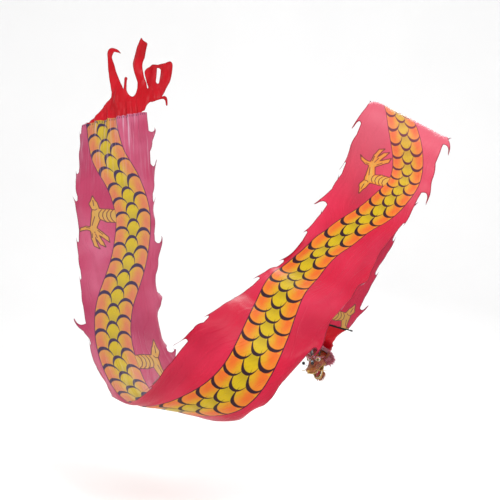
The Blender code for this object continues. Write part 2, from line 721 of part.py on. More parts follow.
def main():
    clear_scene()
    mats = {
        "foam": material("grip_foam", (0.03, 0.03, 0.035), 0.85),
        "steel": material("polished_steel", (0.70, 0.71, 0.72), 0.22, 1.0),
        "black_plastic": material("black_plastic", (0.02, 0.02, 0.02), 0.45),
        "head_red": material("painted_red", (0.62, 0.02, 0.03), 0.40),
        "head_gold": material("painted_gold", (0.80, 0.50, 0.10), 0.35),
        "tongue": material("tongue_pink", (0.75, 0.22, 0.20), 0.55),
        "ivory": material("ivory_teeth", (0.90, 0.86, 0.74), 0.40),
        "eye_white": material("eye_gloss", (0.92, 0.92, 0.90), 0.12),
        "horn": material("dark_horn", (0.10, 0.05, 0.03), 0.50),
        "mirror": material("brow_mirror", (0.85, 0.88, 0.92), 0.08, 1.0),
        "black_fluff": material("black_pompom", (0.02, 0.02, 0.025), 0.95),
        "fur": material("mane_fur", (0.78, 0.30, 0.42), 0.90),
        "red_cloth": material("red_satin", (0.66, 0.01, 0.03), 0.45),
        "print_cloth": material("printed_satin", (0.72, 0.06, 0.14), 0.45),
    }
    build_rod(mats)
    build_head(mats)
    build_neck(mats)
    build_bar(mats)
    build_ribbon(mats)
    build_tail(mats)


main()
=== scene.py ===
"""Looks of the ribbon dragon: printed satin ribbon with flame-cut edges, gathered tail, stuffed
head with its mane, neck sleeve, bar and telescopic rod. Metres, in the frame's own axes."""

import math

import bpy
import numpy as np
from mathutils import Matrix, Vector
from mathutils.geometry import delaunay_2d_cdt


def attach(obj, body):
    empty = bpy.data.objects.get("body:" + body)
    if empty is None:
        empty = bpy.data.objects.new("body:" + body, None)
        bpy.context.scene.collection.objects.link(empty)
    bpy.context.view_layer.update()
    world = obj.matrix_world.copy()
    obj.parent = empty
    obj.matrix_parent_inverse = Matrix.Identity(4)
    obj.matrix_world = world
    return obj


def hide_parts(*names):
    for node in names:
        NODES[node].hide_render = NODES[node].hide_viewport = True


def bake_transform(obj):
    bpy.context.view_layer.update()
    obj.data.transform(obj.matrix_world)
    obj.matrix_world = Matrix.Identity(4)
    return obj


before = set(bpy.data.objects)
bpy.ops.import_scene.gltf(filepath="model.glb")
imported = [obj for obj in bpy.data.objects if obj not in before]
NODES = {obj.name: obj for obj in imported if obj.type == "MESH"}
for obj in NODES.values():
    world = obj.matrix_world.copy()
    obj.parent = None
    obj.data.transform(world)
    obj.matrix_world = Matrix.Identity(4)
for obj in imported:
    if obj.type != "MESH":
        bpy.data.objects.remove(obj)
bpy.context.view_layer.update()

# ---- the ribbon, as the frame has it ------------------------------------------------------
FLIGHT = [
    (0.00, (0.25, 0.65, -0.33), (0.92, 0.29, -0.28)),
    (0.80, (0.54, 0.40, 0.37), (0.92, 0.22, -0.31)),
    (1.45, (0.79, 0.20, 0.94), (0.93, 0.06, -0.38)),
    (1.75, (0.89, 0.09, 1.20), (0.90, -0.07, -0.45)),
    (1.93, (0.91, -0.08, 1.27), (0.89, -0.09, -0.49)),
    (2.12, (0.84, -0.22, 1.15), (0.90, -0.14, -0.43)),
    (2.60, (0.64, -0.30, 0.72), (0.85, -0.41, -0.33)),
    (3.20, (0.33, -0.56, 0.28), (0.81, -0.55, -0.22)),
    (3.80, (0.00, -0.90, -0.08), (0.82, -0.43, -0.36)),
    (4.30, (-0.27, -1.22, -0.32), (0.79, -0.20, -0.60)),
    (4.70, (-0.52, -1.28, -0.60), (0.73, 0.18, -0.62)),
    (5.20, (-0.82, -0.99, -0.82), (0.82, 0.51, -0.31)),
    (5.80, (-1.11, -0.49, -0.70), (0.84, 0.51, -0.16)),
    (6.80, (-1.37, 0.14, 0.00), (0.92, 0.41, -0.06)),
    (8.40, (-1.54, 0.75, 1.46), (0.99, -0.22, 0.18)),
]
BENDS = [0.64, 1.28, 1.93, 2.60, 3.25, 3.90, 4.50, 5.05, 5.60, 6.25, 6.95, 7.65]
LENGTH = 8.40
EDGE = 0.312
CLOTH = 0.0009
ROLL_FROM = 0.255
MOST_MOVED = 0.035
BEND_REACH, END_REACH = 0.05, 0.08
FIN_PITCH = 0.30
# The print: centre of the scaly body across the ribbon, and its rows of scales, by arc length
BODY = [(0.0, -0.03), (0.25, 0.0), (0.60, 0.09), (1.0, 0.0), (1.45, -0.12), (1.93, -0.110),
        (2.12, -0.005), (2.30, 0.105), (2.50, 0.160), (2.80, 0.085), (3.10, -0.06), (3.40, -0.143),
        (3.70, -0.13), (4.00, -0.06), (4.30, 0.03), (4.60, 0.095), (4.85, 0.07), (5.15, -0.02),
        (5.50, -0.09), (5.90, -0.112), (6.40, -0.105), (6.67, -0.05), (6.87, 0.025),
        (7.05, 0.085), (7.25, 0.125), (7.44, 0.14), (7.62, 0.115), (7.80, 0.06), (8.0, -0.035),
        (8.25, -0.095), (8.40, -0.12)]
ROWS = [(0.0, -15.0), (1.0, -7.6), (1.98, 0.0), (2.42, 4.7), (2.95, 9.8), (3.57, 14.2),
        (4.0, 17.0), (4.43, 20.0), (4.90, 23.4), (5.77, 29.0), (6.58, 33.6), (7.26, 37.8),
        (7.80, 41.4), (8.40, 45.2)]
WIDTHS = [(0.0, 0.125), (1.4, 0.115), (1.93, 0.106), (2.55, 0.110), (2.95, 0.138), (3.6, 0.142), (8.4, 0.142)]
# Legs: arc length of the root, side, size along and across
LEGS = [(0.09, 1, 0.75, 0.85), (2.54, -1, 0.78, 0.88), (6.06, 1, 1.25, 1.0), (7.46, -1, 1.0, 1.0)]


def natural_spline(points):
    """Cubic through the points with free ends: a function of an array of arc lengths."""
    x = np.array([p[0] for p in points], float)
    y = np.array([p[1] for p in points], float)
    if y.ndim == 1:
        y = y[:, None]
    n = len(x)
    h = np.diff(x)
    matrix = np.eye(n)
    right = np.zeros_like(y)
    for i in range(1, n - 1):
        matrix[i, i - 1 : i + 2] = h[i - 1], 2 * (h[i - 1] + h[i]), h[i]
        right[i] = 6 * ((y[i + 1] - y[i]) / h[i] - (y[i] - y[i - 1]) / h[i - 1])
    second = np.linalg.solve(matrix, right)

    def at(s):
        i = np.clip(np.searchsorted(x, s) - 1, 0, n - 2)
        a = ((x[i + 1] - s) / h[i])[:, None]
        b = 1 - a
        bend = (a**3 - a) * second[i] + (b**3 - b) * second[i + 1]
        return a * y[i] + b * y[i + 1] + bend * (h[i] ** 2)[:, None] / 6

    return at


centre_at = natural_spline([(f[0], f[1]) for f in FLIGHT])
across_at = natural_spline([(f[0], f[2]) for f in FLIGHT])
body_at = natural_spline(BODY)
row_at = natural_spline(ROWS)


def half_at(s):
    """Half the width of the scaly body."""
    return np.interp(s, *zip(*WIDTHS))


def placed(name, data):
    """A new object holding the data, in the scene."""
    obj = bpy.data.objects.new(name, data)
    bpy.context.scene.collection.objects.link(obj)
    return obj


def unit(v):
    return v / np.linalg.norm(v, axis=-1, keepdims=True)


def ribbon_frame(s):
    s = np.atleast_1d(np.asarray(s, float))
    centre = centre_at(s)
    along = unit(centre_at(s + 0.004) - centre_at(s - 0.004))
    across = across_at(s)
    across = unit(across - along * (across * along).sum(1, keepdims=True))
    return centre, along, across, np.cross(across, along)


def noise(x, y, seed=0.0):
    """Smooth value noise between -1 and 1."""
    xi, yi = np.floor(x), np.floor(y)
    fx, fy = x - xi, y - yi
    fx, fy = fx * fx * (3 - 2 * fx), fy * fy * (3 - 2 * fy)

    def corner(i, j):
        v = np.sin(i * 127.1 + j * 311.7 + seed * 74.7) * 43758.5453
        return 2 * (v - np.floor(v)) - 1

    low = corner(xi, yi) * (1 - fx) + corner(xi + 1, yi) * fx
    high = corner(xi, yi + 1) * (1 - fx) + corner(xi + 1, yi + 1) * fx
    return low * (1 - fy) + high * fy


def folds(s, w):
    """How far the cloth stands off its flight surface, along the front normal."""
    drift = noise(s * 0.9, w * 2.2, 3)
    wide = 0.016 * noise(s * 1.3 + 7, w * 2.4, 1) * np.clip((s - 0.1) / 0.5, 0, 1)
    mask = np.clip(0.55 + 0.9 * noise(s * 1.1, w * 1.7, 5), 0, 1)
    long = 0.0085 * mask * noise(s * 1.6, w * 11 + 3 * drift + 1.2 * s, 2)
    fine = 0.0026 * mask * noise(s * 3.5, w * 30 + 4 * drift, 4)
    left = LENGTH - s
    pucker = 0.0100 * np.exp(-left / 0.16) + 0.0050 * np.exp(-left / 0.50)
    wave = noise(left * 2.0, w * 42, 6) + 0.5 * noise(left * 3.0, w * 90, 7)
    head = 0.0030 * np.exp(-s / 0.10) * noise(s * 3, w * 45, 8)
    return wide + long + fine + pucker * wave + head


BILLOW = {}


def smooth_lookup(grid, i, j):
    """Catmull-Rom interpolation of a grid of vectors at fractional rows and columns."""
    rows, columns = grid.shape[:2]
    i, j = np.clip(i, 0, rows - 1.001), np.clip(j, 0, columns - 1.001)
    i0, j0 = np.floor(i).astype(int), np.floor(j).astype(int)

    def shares(t):
        return (0.5 * (-t + 2 * t**2 - t**3), 0.5 * (2 - 5 * t**2 + 3 * t**3),
                0.5 * (t + 4 * t**2 - 3 * t**3), 0.5 * (t**3 - t**2))

    down, along = shares(i - i0), shares(j - j0)
    total = np.zeros((len(i), 3))
    for a in range(4):
        row = np.clip(i0 + a - 1, 0, rows - 1)
        for b in range(4):
            column = np.clip(j0 + b - 1, 0, columns - 1)
            total += (down[a] * along[b])[:, None] * grid[row, column]
    return total


def settle_ribbon(rows=421, columns=33, frames=26):
    """Cloth simulation of the whole ribbon. The cloth is a little longer and wider than its
    flight, so it buckles into folds as gusts shake it, and soft springs keep it on its path.
    The result is kept as offsets along, across and off the flight surface."""
    s, w = np.meshgrid(np.linspace(0, LENGTH, rows), np.linspace(-EDGE, EDGE, columns), indexing="ij")
    start = ribbon_space(s.ravel(), w.ravel())
    faces = []
    for i in range(rows - 1):
        for j in range(columns - 1):
            k = i * columns + j
            faces.append((k, k + 1, k + columns + 1, k + columns))
    mesh = bpy.data.meshes.new("settling_ribbon")
    mesh.from_pydata(start.tolist(), [], faces)
    cloth = placed("settling_ribbon", mesh)
    hold = cloth.vertex_groups.new(name="hold")
    ends = [i * columns + j for i in (0, 1, rows - 2, rows - 1) for j in range(columns)]
    hold.add(list(range(rows * columns)), 0.10, "REPLACE")
    hold.add(ends, 1.0, "REPLACE")
    settings = cloth.modifiers.new("Cloth", "CLOTH").settings
    settings.quality = 6
    settings.mass = 0.06
    settings.tension_stiffness = settings.compression_stiffness = 12.0
    settings.shear_stiffness = 4.0
    settings.bending_stiffness = 0.5
    settings.tension_damping = settings.compression_damping = 4.0
    settings.air_damping = 2.0
    settings.vertex_group_mass = "hold"
    settings.pin_stiffness = 0.10
    settings.shrink_min = -0.03
    settings.effector_weights.gravity = 0.0
    bpy.ops.object.effector_add(type="TURBULENCE", location=(0.0, 0.0, 0.3))
    gust = bpy.context.object
    gust.field.strength = 26.0
    gust.field.size = 0.35
    gust.field.noise = 0.0
    gust.field.seed = 7
    scene = bpy.context.scene
    for frame_number in range(1, frames + 1):
        scene.frame_set(frame_number)
    settled = cloth.evaluated_get(bpy.context.evaluated_depsgraph_get()).to_mesh()
    end = np.empty(rows * columns * 3)
    settled.vertices.foreach_get("co", end)
    moved = end.reshape(-1, 3) - start
    size = np.linalg.norm(moved, axis=1, keepdims=True)
    moved *= np.minimum(1.0, MOST_MOVED / np.maximum(size, 1e-9))
    _, along, across, normal = ribbon_frame(s.ravel())
    offsets = np.stack([(moved * axis).sum(1) for axis in (along, across, normal)], 1)
    grid = offsets.reshape(rows, columns, 3)
    for _ in range(2):
        grid = (np.roll(grid, 1, 0) + 2 * grid + np.roll(grid, -1, 0)) / 4
        padded = np.concatenate([grid[:, :1], grid, grid[:, -1:]], 1)
        grid = (padded[:, :-2] + 2 * grid + padded[:, 2:]) / 4
    BILLOW["grid"] = grid
    bpy.data.objects.remove(gust)
    bpy.data.objects.remove(cloth)
    scene.frame_set(1)


def ribbon_space(s, w):
    """Points of the cloth: it follows the flight, with folds, and its edges roll over."""
    centre, along, across, normal = ribbon_frame(s)
    side = np.sign(w)
    flat = np.clip(np.abs(w), 0, ROLL_FROM)
    over = np.abs(w) - flat
    curl = 22 * noise(s * 2.1, side * 5.5, 11) + 14 * noise(s * 6.1, side * 9.5, 12)
    curl = np.where(np.abs(curl) < 0.5, 0.5, curl)
    reach = flat + np.sin(curl * over) / curl
    rise = (1 - np.cos(curl * over)) / curl
    rise = rise + folds(s, side * flat)
    place = centre + across * (side * reach)[:, None] + normal * rise[:, None]
    if "grid" in BILLOW:
        rows, columns = BILLOW["grid"].shape[:2]
        found = smooth_lookup(BILLOW["grid"], s / LENGTH * (rows - 1), (w / EDGE + 1) / 2 * (columns - 1))
        place = place + along * found[:, :1] + across * found[:, 1:2] + normal * found[:, 2:]
    return place


# ---- the tail -----------------------------------------------------------------------------
def tail_space(s, w):
    centre, along, across, normal = ribbon_frame(np.array([LENGTH]))
    lean = along * np.cos(0.35 * s)[:, None] + normal * np.sin(0.35 * s)[:, None]
    grow = np.clip(s / 0.12, 0, 1)
    ripple = 0.030 * np.sin(9 * w + 5 * s) * grow
    ripple = ripple + folds(np.full_like(s, LENGTH), w) * np.exp(-s / 0.10)
    ripple = ripple + 0.020 * noise(s * 7 + 3, w * 17 - 5 * s, 21) * grow
    ripple = ripple + 0.005 * noise(s * 16, w * 38 - 9 * s, 22) * grow
    return centre + lean * s[:, None] + across * w[:, None] + normal * ripple[:, None]


def on_ribbon(s):
    return Vector(ribbon_space(np.array([float(s)]), np.array([1e-6]))[0])


def on_tail(s, w):
    return Vector(tail_space(np.array([float(s)]), np.array([float(w)]))[0])


# ---- materials ----------------------------------------------------------------------------
def srgb(r, g, b, level=0.70):
    """A display colour as the reflectance that gives it under this studio's light."""

    def linear(c):
        c = c / 255
        return level * (c / 12.92 if c <= 0.04045 else ((c + 0.055) / 1.055) ** 2.4)

    return (linear(r), linear(g), linear(b), 1.0)


class Value:
    """A number in a node tree, with arithmetic."""

    def __init__(self, tree, socket):
        self.tree = tree
        self.socket = socket

    def op(self, operation, *others, clamp=False):
        node = self.tree.nodes.new("ShaderNodeMath")
        node.operation = operation
        node.use_clamp = clamp
        for slot, value in zip(node.inputs, (self, *others)):
            plug(self.tree, slot, value)
        return Value(self.tree, node.outputs[0])

    def __add__(self, other):
        return self.op("ADD", other)

    def __sub__(self, other):
        return self.op("SUBTRACT", other)

    def __mul__(self, other):
        return self.op("MULTIPLY", other)

    def __truediv__(self, other):
        return self.op("DIVIDE", other)

    def step(self, low, high):
        """0 below low, 1 above high, smooth between; low may be above high."""
        node = self.tree.nodes.new("ShaderNodeMapRange")
        node.interpolation_type = "SMOOTHSTEP"
        plug(self.tree, node.inputs["Value"], self)
        node.inputs["From Min"].default_value = min(low, high)
        node.inputs["From Max"].default_value = max(low, high)
        node.inputs["To Min"].default_value = 0.0 if low < high else 1.0
        node.inputs["To Max"].default_value = 1.0 if low < high else 0.0
        return Value(self.tree, node.outputs["Result"])


def plug(tree, slot, value):
    if isinstance(value, Value):
        tree.links.new(value.socket, slot)
    else:
        slot.default_value = value


def attribute(tree, name):
    node = tree.nodes.new("ShaderNodeAttribute")
    node.attribute_name = name
    return Value(tree, node.outputs["Fac"])


def mix(tree, share, a, b):
    node = tree.nodes.new("ShaderNodeMix")
    node.data_type = "RGBA"
    plug(tree, node.inputs["Factor"], share)
    plug(tree, node.inputs[6], a)
    plug(tree, node.inputs[7], b)
    return Value(tree, node.outputs[2])


def vector_of(tree, x, y, z=0.0):
    node = tree.nodes.new("ShaderNodeCombineXYZ")
    for slot, value in zip(node.inputs, (x, y, z)):
        plug(tree, slot, value)
    return Value(tree, node.outputs[0])


def object_vector(tree):
    return Value(tree, tree.nodes.new("ShaderNodeTexCoord").outputs["Object"])


def noise_of(tree, vector, scale, detail=3.0, rough=0.5):
    node = tree.nodes.new("ShaderNodeTexNoise")
    plug(tree, node.inputs["Vector"], vector)
    node.inputs["Scale"].default_value = scale
    node.inputs["Detail"].default_value = detail
    node.inputs["Roughness"].default_value = rough
    return Value(tree, node.outputs["Fac"])


def bump_of(tree, height, distance, strength=1.0, normal=None):
    node = tree.nodes.new("ShaderNodeBump")
    plug(tree, node.inputs["Height"], height)
    node.inputs["Distance"].default_value = distance
    node.inputs["Strength"].default_value = strength
    if normal is not None:
        plug(tree, node.inputs["Normal"], normal)
    return Value(tree, node.outputs[0])


def new_material(name, **sockets):
    mat = bpy.data.materials.new(name)
    mat.use_nodes = True
    shader = mat.node_tree.nodes["Principled BSDF"]
    for key, value in sockets.items():
        shader.inputs[key.replace("_", " ")].default_value = value
    return mat, mat.node_tree, shader


def feed(shader, **values):
    """Links each value to the shader's socket of that name."""
    for key, value in values.items():
        plug(value.tree, shader.inputs[key.replace("_", " ")], value)


# The palest pink in each palette is a painted highlight colour, for sheen streaks by the tail seam and for
# painted sunlight; the last number is how strong that painted sunlight is on that side.
PALETTES = {
    "front": {
        "ground": srgb(214, 22, 60), "ground_pale": srgb(226, 48, 82), "orange": srgb(238, 112, 38),
        "amber": srgb(240, 150, 40), "yellow": srgb(216, 184, 16), "olive": srgb(170, 140, 24),
        "ink": srgb(48, 20, 34), "line": srgb(96, 18, 44), "gold": srgb(226, 172, 66),
        "leg_line": srgb(112, 50, 34), "hem": srgb(160, 18, 50), "painted_highlight": srgb(236, 120, 140),
        "warmth": 0.0, "painted_sunlight": 0.50,
    },
    "reverse": {
        "ground": srgb(188, 62, 98), "ground_pale": srgb(208, 102, 134), "orange": srgb(214, 124, 88),
        "amber": srgb(216, 152, 78), "yellow": srgb(206, 178, 44), "olive": srgb(176, 150, 60),
        "ink": srgb(66, 50, 82), "line": srgb(112, 50, 84), "gold": srgb(206, 160, 84),
        "leg_line": srgb(116, 70, 70), "hem": srgb(156, 40, 78), "painted_highlight": srgb(222, 176, 196),
        "warmth": 0.8, "painted_sunlight": 0.0,
    },
}


# Width of the ink at the foot of a scale
INK_WIDTH = 0.0092


def scale_strokes(u, row, column, reach, offset, ink_at):
    """One column of scales: (ink, share across its cell, distance past the last arc)."""
    x = (u - column) / reach
    cell = (row - offset).op("FLOORED_MODULO", 1.0)
    y = cell / 0.90
    radius = ((x * x) * (x * x) * 0.35 + x * x * 0.65 + y * y).op("SQRT")
    gap = radius - 1.0
    width = y.op("MAXIMUM", 0.0).op("POWER", 0.9) * (x * -0.30 + 0.85) * ink_at
    ink = (width - gap.op("ABSOLUTE") * 0.062) / 0.0026
    return ink.op("MULTIPLY", 1.0, clamp=True), gap, cell


def printed_satin(name, palette, sheen):
    p = PALETTES[palette]
    mat, tree, shader = new_material(
        name, Roughness=0.40, Sheen_Weight=sheen, Sheen_Roughness=0.35, Specular_IOR_Level=0.16
    )
    u, row = attribute(tree, "print_u"), attribute(tree, "print_row")
    s, w = attribute(tree, "cloth_s"), attribute(tree, "cloth_w")
    leg, leg_line = attribute(tree, "leg_edge"), attribute(tree, "leg_line")
    hem = attribute(tree, "hem")
    flat = vector_of(tree, s, w)
    tone = noise_of(tree, flat, 2.2, 2.0)
    streak = noise_of(tree, vector_of(tree, s * 3.0, w * 60.0), 1.0, 3.0)
    ground = mix(tree, tone.step(0.35, 0.75), p["ground"], p["ground_pale"])
    ground = mix(tree, streak.step(0.3, 0.8) * 0.10, ground, p["ground_pale"])
    ground = mix(tree, s.step(2.3, 1.4) * p["warmth"], ground, PALETTES["front"]["ground"])
    # Painted shade: slow patches of the ground darkened towards the hem colour, standing in for the shade of
    # broad folds.
    shade = noise_of(tree, vector_of(tree, s * 1.3, w * 3.0), 1.0, 2.0)
    ground = mix(tree, shade.step(0.42, 0.72) * 0.45, ground, p["hem"])
    # Painted light: the front side turns paler pink from the head end, fading out between about s = 2.15 and
    # 3.25, standing in for sunlight on the sail by its top fold.
    painted_sunlight = (s + tone * 0.5).step(3.25, 2.15) * p["painted_sunlight"]
    ground = mix(tree, painted_sunlight, ground, p["painted_highlight"])
    # Painted sheen: pale streaks along the ribbon from s = 7.65 to the tail seam, standing in for the lustre
    # on the puckered satin.
    painted_highlight = noise_of(tree, vector_of(tree, s * 2.0, w * 46.0), 1.0, 2.0).step(0.50, 0.72)
    painted_highlight = painted_highlight * s.step(7.65, 8.35) * 0.75
    side = u.op("ABSOLUTE")
    wash = noise_of(tree, flat, 26.0, 2.0)
    scales = mix(tree, (side + wash * 0.22).step(0.34, 0.86), p["yellow"], p["orange"])
    columns = ((-0.62, 0.47, 0.5), (0.62, 0.47, 0.5), (0.0, 0.40, 0.0))
    inks = []
    for column, reach, offset in columns:
        ink, gap, cell = scale_strokes(u, row, column, reach, offset, INK_WIDTH)
        inks.append(ink)
        centre = column == 0.0
        near = (u - column).op("ABSOLUTE").step(reach * 0.95, reach * 0.75)
        root = cell.step(0.0, 0.55).op("MULTIPLY", -1.0) + 1.0
        glow = gap.step(-0.60, -0.08) * gap.step(0.02, 0.0) * near
        rim = gap.step(0.10, 0.20) * gap.step(0.42, 0.22) * near
        shade = p["olive"] if centre else p["orange"]
        scales = mix(tree, root * near * (0.55 if centre else 0.35), scales, shade)
        scales = mix(tree, glow * (0.75 if centre else 0.60), scales,
                              p["yellow"] if centre else p["amber"])
        scales = mix(tree, rim * 0.55, scales, p["yellow"])
    ink = inks[0].op("MAXIMUM", inks[1]).op("MAXIMUM", inks[2])
    scales = mix(tree, ink, scales, p["ink"])
    inside = side.step(1.0, 0.985)
    colour = mix(tree, inside, ground, scales)
    outline = (side - 1.0).op("ABSOLUTE").step(0.030, 0.018)
    colour = mix(tree, outline, colour, p["line"])
    outside = side.step(0.985, 1.0)
    leg_in = leg.step(0.001, -0.001) * outside
    gold = mix(tree, leg.step(-0.030, -0.006), p["gold"], p["amber"])
    colour = mix(tree, leg_in, colour, gold)
    drawn = leg.op("ABSOLUTE").step(0.0050, 0.0034).op("MAXIMUM", leg_line.step(0.0044, 0.0030) * leg_in)
    colour = mix(tree, drawn * outside, colour, p["leg_line"])
    # The painted sheen streaks, laid over the print.
    colour = mix(tree, painted_highlight, colour, p["painted_highlight"])
    # The same painted sunlight, laid over the print as well.
    colour = mix(tree, painted_sunlight * 0.45, colour, p["painted_highlight"])
    # Painted shade: dark dashes in the ink colour along the seam band, standing in for the shade between the
    # seam's puckers.
    seam = s.step(8.372, 8.380) * s.step(8.396, 8.390)
    pucker = (w * 330.0).op("SINE").step(0.0, 0.5) * seam
    colour = mix(tree, pucker * 0.7, colour, p["ink"])
    colour = mix(tree, hem.step(0.0070, 0.0045), colour, p["hem"])
    stitch = (s * 260.0).op("SINE") * hem.step(0.0105, 0.0085) * hem.step(0.0050, 0.0070)
    colour = mix(tree, stitch.op("MAXIMUM", 0.0) * 0.6, colour, p["ground_pale"])
    feed(shader, Base_Color=colour)
    warp, weft = (s * 2600.0).op("SINE"), (w * 2600.0).op("SINE")
    slub = noise_of(tree, vector_of(tree, s * 140.0, w * 900.0), 1.0, 2.0)
    height = warp * weft * 0.25 + slub + stitch * 1.5 + hem.step(0.012, 0.004) * 1.2 + pucker * 2.0
    normal = bump_of(tree, height, 0.0006, 0.6)
    lean = noise_of(tree, flat, 1.5, 1.0) * 0.5 + w
    creases = noise_of(tree, vector_of(tree, s * 1.1, lean * 15.0), 1.0, 2.0)
    creases = (creases - 0.5).op("ABSOLUTE").step(0.055, 0.0)
    normal = bump_of(tree, creases, 0.0035, 0.45, normal)
    feed(shader, Normal=normal)
    rough = streak * 0.16 + 0.32 + ink * 0.10
    feed(shader, Roughness=rough)
    return mat


def plain_satin(name, colour, pale, sheen=0.08, rough=0.36):
    """Dyed satin with slubs, a lustre that varies along the weave, and stitched hems."""
    mat, tree, shader = new_material(
        name, Sheen_Weight=sheen, Sheen_Roughness=0.35, Specular_IOR_Level=0.16
    )
    s, w = attribute(tree, "cloth_s"), attribute(tree, "cloth_w")
    hem = attribute(tree, "hem")
    flat = vector_of(tree, s, w)
    tone = noise_of(tree, flat, 5.0, 2.0)
    streak = noise_of(tree, vector_of(tree, s * 5.0, w * 90.0), 1.0, 3.0)
    base = mix(tree, tone.step(0.35, 0.75) * 0.5, colour, pale)
    base = mix(tree, streak.step(0.4, 0.8) * 0.25, base, pale)
    dark = tuple(c * 0.55 for c in colour[:3]) + (1.0,)
    base = mix(tree, hem.step(0.0060, 0.0035) * 0.7, base, dark)
    feed(shader, Base_Color=base)
    slub = noise_of(tree, vector_of(tree, s * 140.0, w * 900.0), 1.0, 2.0)
    height = (s * 2600.0).op("SINE") * (w * 2600.0).op("SINE") * 0.25 + slub
    height = height + hem.step(0.011, 0.004) * 1.2
    feed(shader, Normal=bump_of(tree, height, 0.0006, 0.6))
    feed(shader, Roughness=(streak * 0.2 + (rough - 0.1)))
    return mat


MATS = {
    "front": printed_satin("printed_satin_front", "front", 0.03),
    "reverse": printed_satin("printed_satin_reverse", "reverse", 0.10),
    "red": plain_satin("red_satin", srgb(190, 0, 20), srgb(224, 14, 40)),
    "red_back": plain_satin("red_satin_reverse", srgb(170, 2, 26), srgb(206, 30, 44)),
    "binding": plain_satin("black_binding_tape", srgb(22, 18, 22), srgb(52, 44, 50), 0.2, 0.6),
    "cut": plain_satin("cut_edge", srgb(120, 14, 40), srgb(150, 30, 50), 0.2, 0.6),
}


# ---- cloth pieces -------------------------------------------------------------------------
def inside_polygon(points, polygon):
    x, y = points[:, 0], points[:, 1]
    found = np.zeros(len(points), bool)
    ends = np.roll(polygon, -1, axis=0)
    for (x0, y0), (x1, y1) in zip(polygon, ends):
        if y0 == y1:
            continue
        crosses = (y0 > y) != (y1 > y)
        found ^= crosses & (x < (x1 - x0) * (y - y0) / (y1 - y0) + x0)
    return found


def distance_to(points, segments):
    """Distance of each point from the nearest of the segments."""
    best = np.full(len(points), 9.0)
    for a, b in segments:
        d = b - a
        t = np.clip(((points - a) @ d) / max(d @ d, 1e-12), 0, 1)
        best = np.minimum(best, np.linalg.norm(points - a - t[:, None] * d, axis=1))
    return best


def hex_grid(low, high, step):
    rows = np.arange(low[1], high[1], step * 0.866)
    found = []
    for k, y in enumerate(rows):
        x = np.arange(low[0] + (k % 2) * step / 2, high[0], step)
        found.append(np.stack([x, np.full_like(x, y)], 1))
    return np.concatenate(found)


# A leg in its own axes: bones as (from, to, radius at each), and the lines drawn on it
BONES = [
    ((-0.02, 0.0), (0.060, 0.010), 0.058, 0.060), ((0.060, 0.010), (0.150, 0.030), 0.060, 0.046),
    ((0.150, 0.030), (0.185, -0.110), 0.044, 0.026), ((0.158, 0.060), (0.180, 0.120), 0.030, 0.034),
    ((0.180, 0.120), (0.186, 0.205), 0.030, 0.003), ((0.185, -0.110), (0.128, -0.160), 0.026, 0.020),
    ((0.128, -0.160), (0.080, -0.200), 0.019, 0.018), ((0.080, -0.200), (0.058, -0.236), 0.015, 0.003),
    ((0.180, -0.130), (0.150, -0.200), 0.024, 0.018), ((0.150, -0.200), (0.122, -0.250), 0.018, 0.017),
    ((0.122, -0.250), (0.092, -0.282), 0.014, 0.003), ((0.190, -0.130), (0.188, -0.210), 0.022, 0.017),
    ((0.188, -0.210), (0.170, -0.268), 0.016, 0.016), ((0.170, -0.268), (0.140, -0.300), 0.013, 0.003),
    ((0.190, -0.120), (0.240, -0.118), 0.024, 0.018), ((0.240, -0.118), (0.282, -0.136), 0.018, 0.014),
    ((0.282, -0.136), (0.312, -0.168), 0.011, 0.003),
]
STROKES = [
    ((0.170, 0.000), (0.194, -0.085)), ((0.176, 0.100), (0.184, 0.160)),
    ((0.150, -0.128), (0.112, -0.168)), ((0.176, -0.146), (0.156, -0.200)),
    ((0.198, -0.152), (0.196, -0.205)), ((0.214, -0.112), (0.246, -0.112)),
    ((0.150, 0.072), (0.166, 0.060)), ((0.166, 0.060), (0.196, 0.066)),
]
for x in (0.018 + 0.032 * k for k in range(4)):
    STROKES += [((x, 0.064), (x + 0.020, 0.036)), ((x + 0.020, 0.036), (x + 0.024, 0.002)),
                ((x + 0.024, 0.002), (x + 0.012, -0.030)), ((x + 0.012, -0.030), (x - 0.008, -0.050))]


def leg_shapes(points):
    """Distance from the nearest leg's outline (negative inside) and from its drawn lines."""
    edge = np.full(len(points), 0.5)
    line = np.full(len(points), 0.5)
    for root, side, along, wide in LEGS:
        at = float(body_at(np.array([root]))[0, 0] + side * half_at(root))
        local = np.stack([(points[:, 1] - at) * side / wide, (points[:, 0] - root) / along], 1)
        for a, b, ra, rb in BONES:
            a, b = np.array(a), np.array(b)
            d = b - a
            t = np.clip(((local - a) @ d) / (d @ d), 0, 1)
            far = np.linalg.norm(local - a - t[:, None] * d, axis=1) - (ra + (rb - ra) * t)
            k = 0.008
            h = np.clip(0.5 + 0.5 * (edge - far) / k, 0, 1)
            edge = edge * (1 - h) + far * h - k * h * (1 - h)
        line = np.minimum(line, distance_to(local, [(np.array(a), np.array(b)) for a, b in STROKES]))
    return edge, line


def print_values(flat):
    """Attributes of the print at each (s, w) point."""
    s, w = flat[:, 0], flat[:, 1]
    foot = s.copy()
    for _ in range(8):
        c = body_at(foot)[:, 0]
        slope = (body_at(foot + 0.01)[:, 0] - body_at(foot - 0.01)[:, 0]) / 0.02
        foot = foot + 0.6 * (s + (w - c) * slope - foot)
        foot = np.clip(foot, -0.2, LENGTH + 0.2)
    c = body_at(foot)[:, 0]
    away = np.hypot(s - foot, w - c) * np.sign(w - c)
    edge, line = leg_shapes(flat)
    return {"print_u": away / half_at(foot), "print_row": row_at(foot)[:, 0],
            "leg_edge": edge, "leg_line": line}


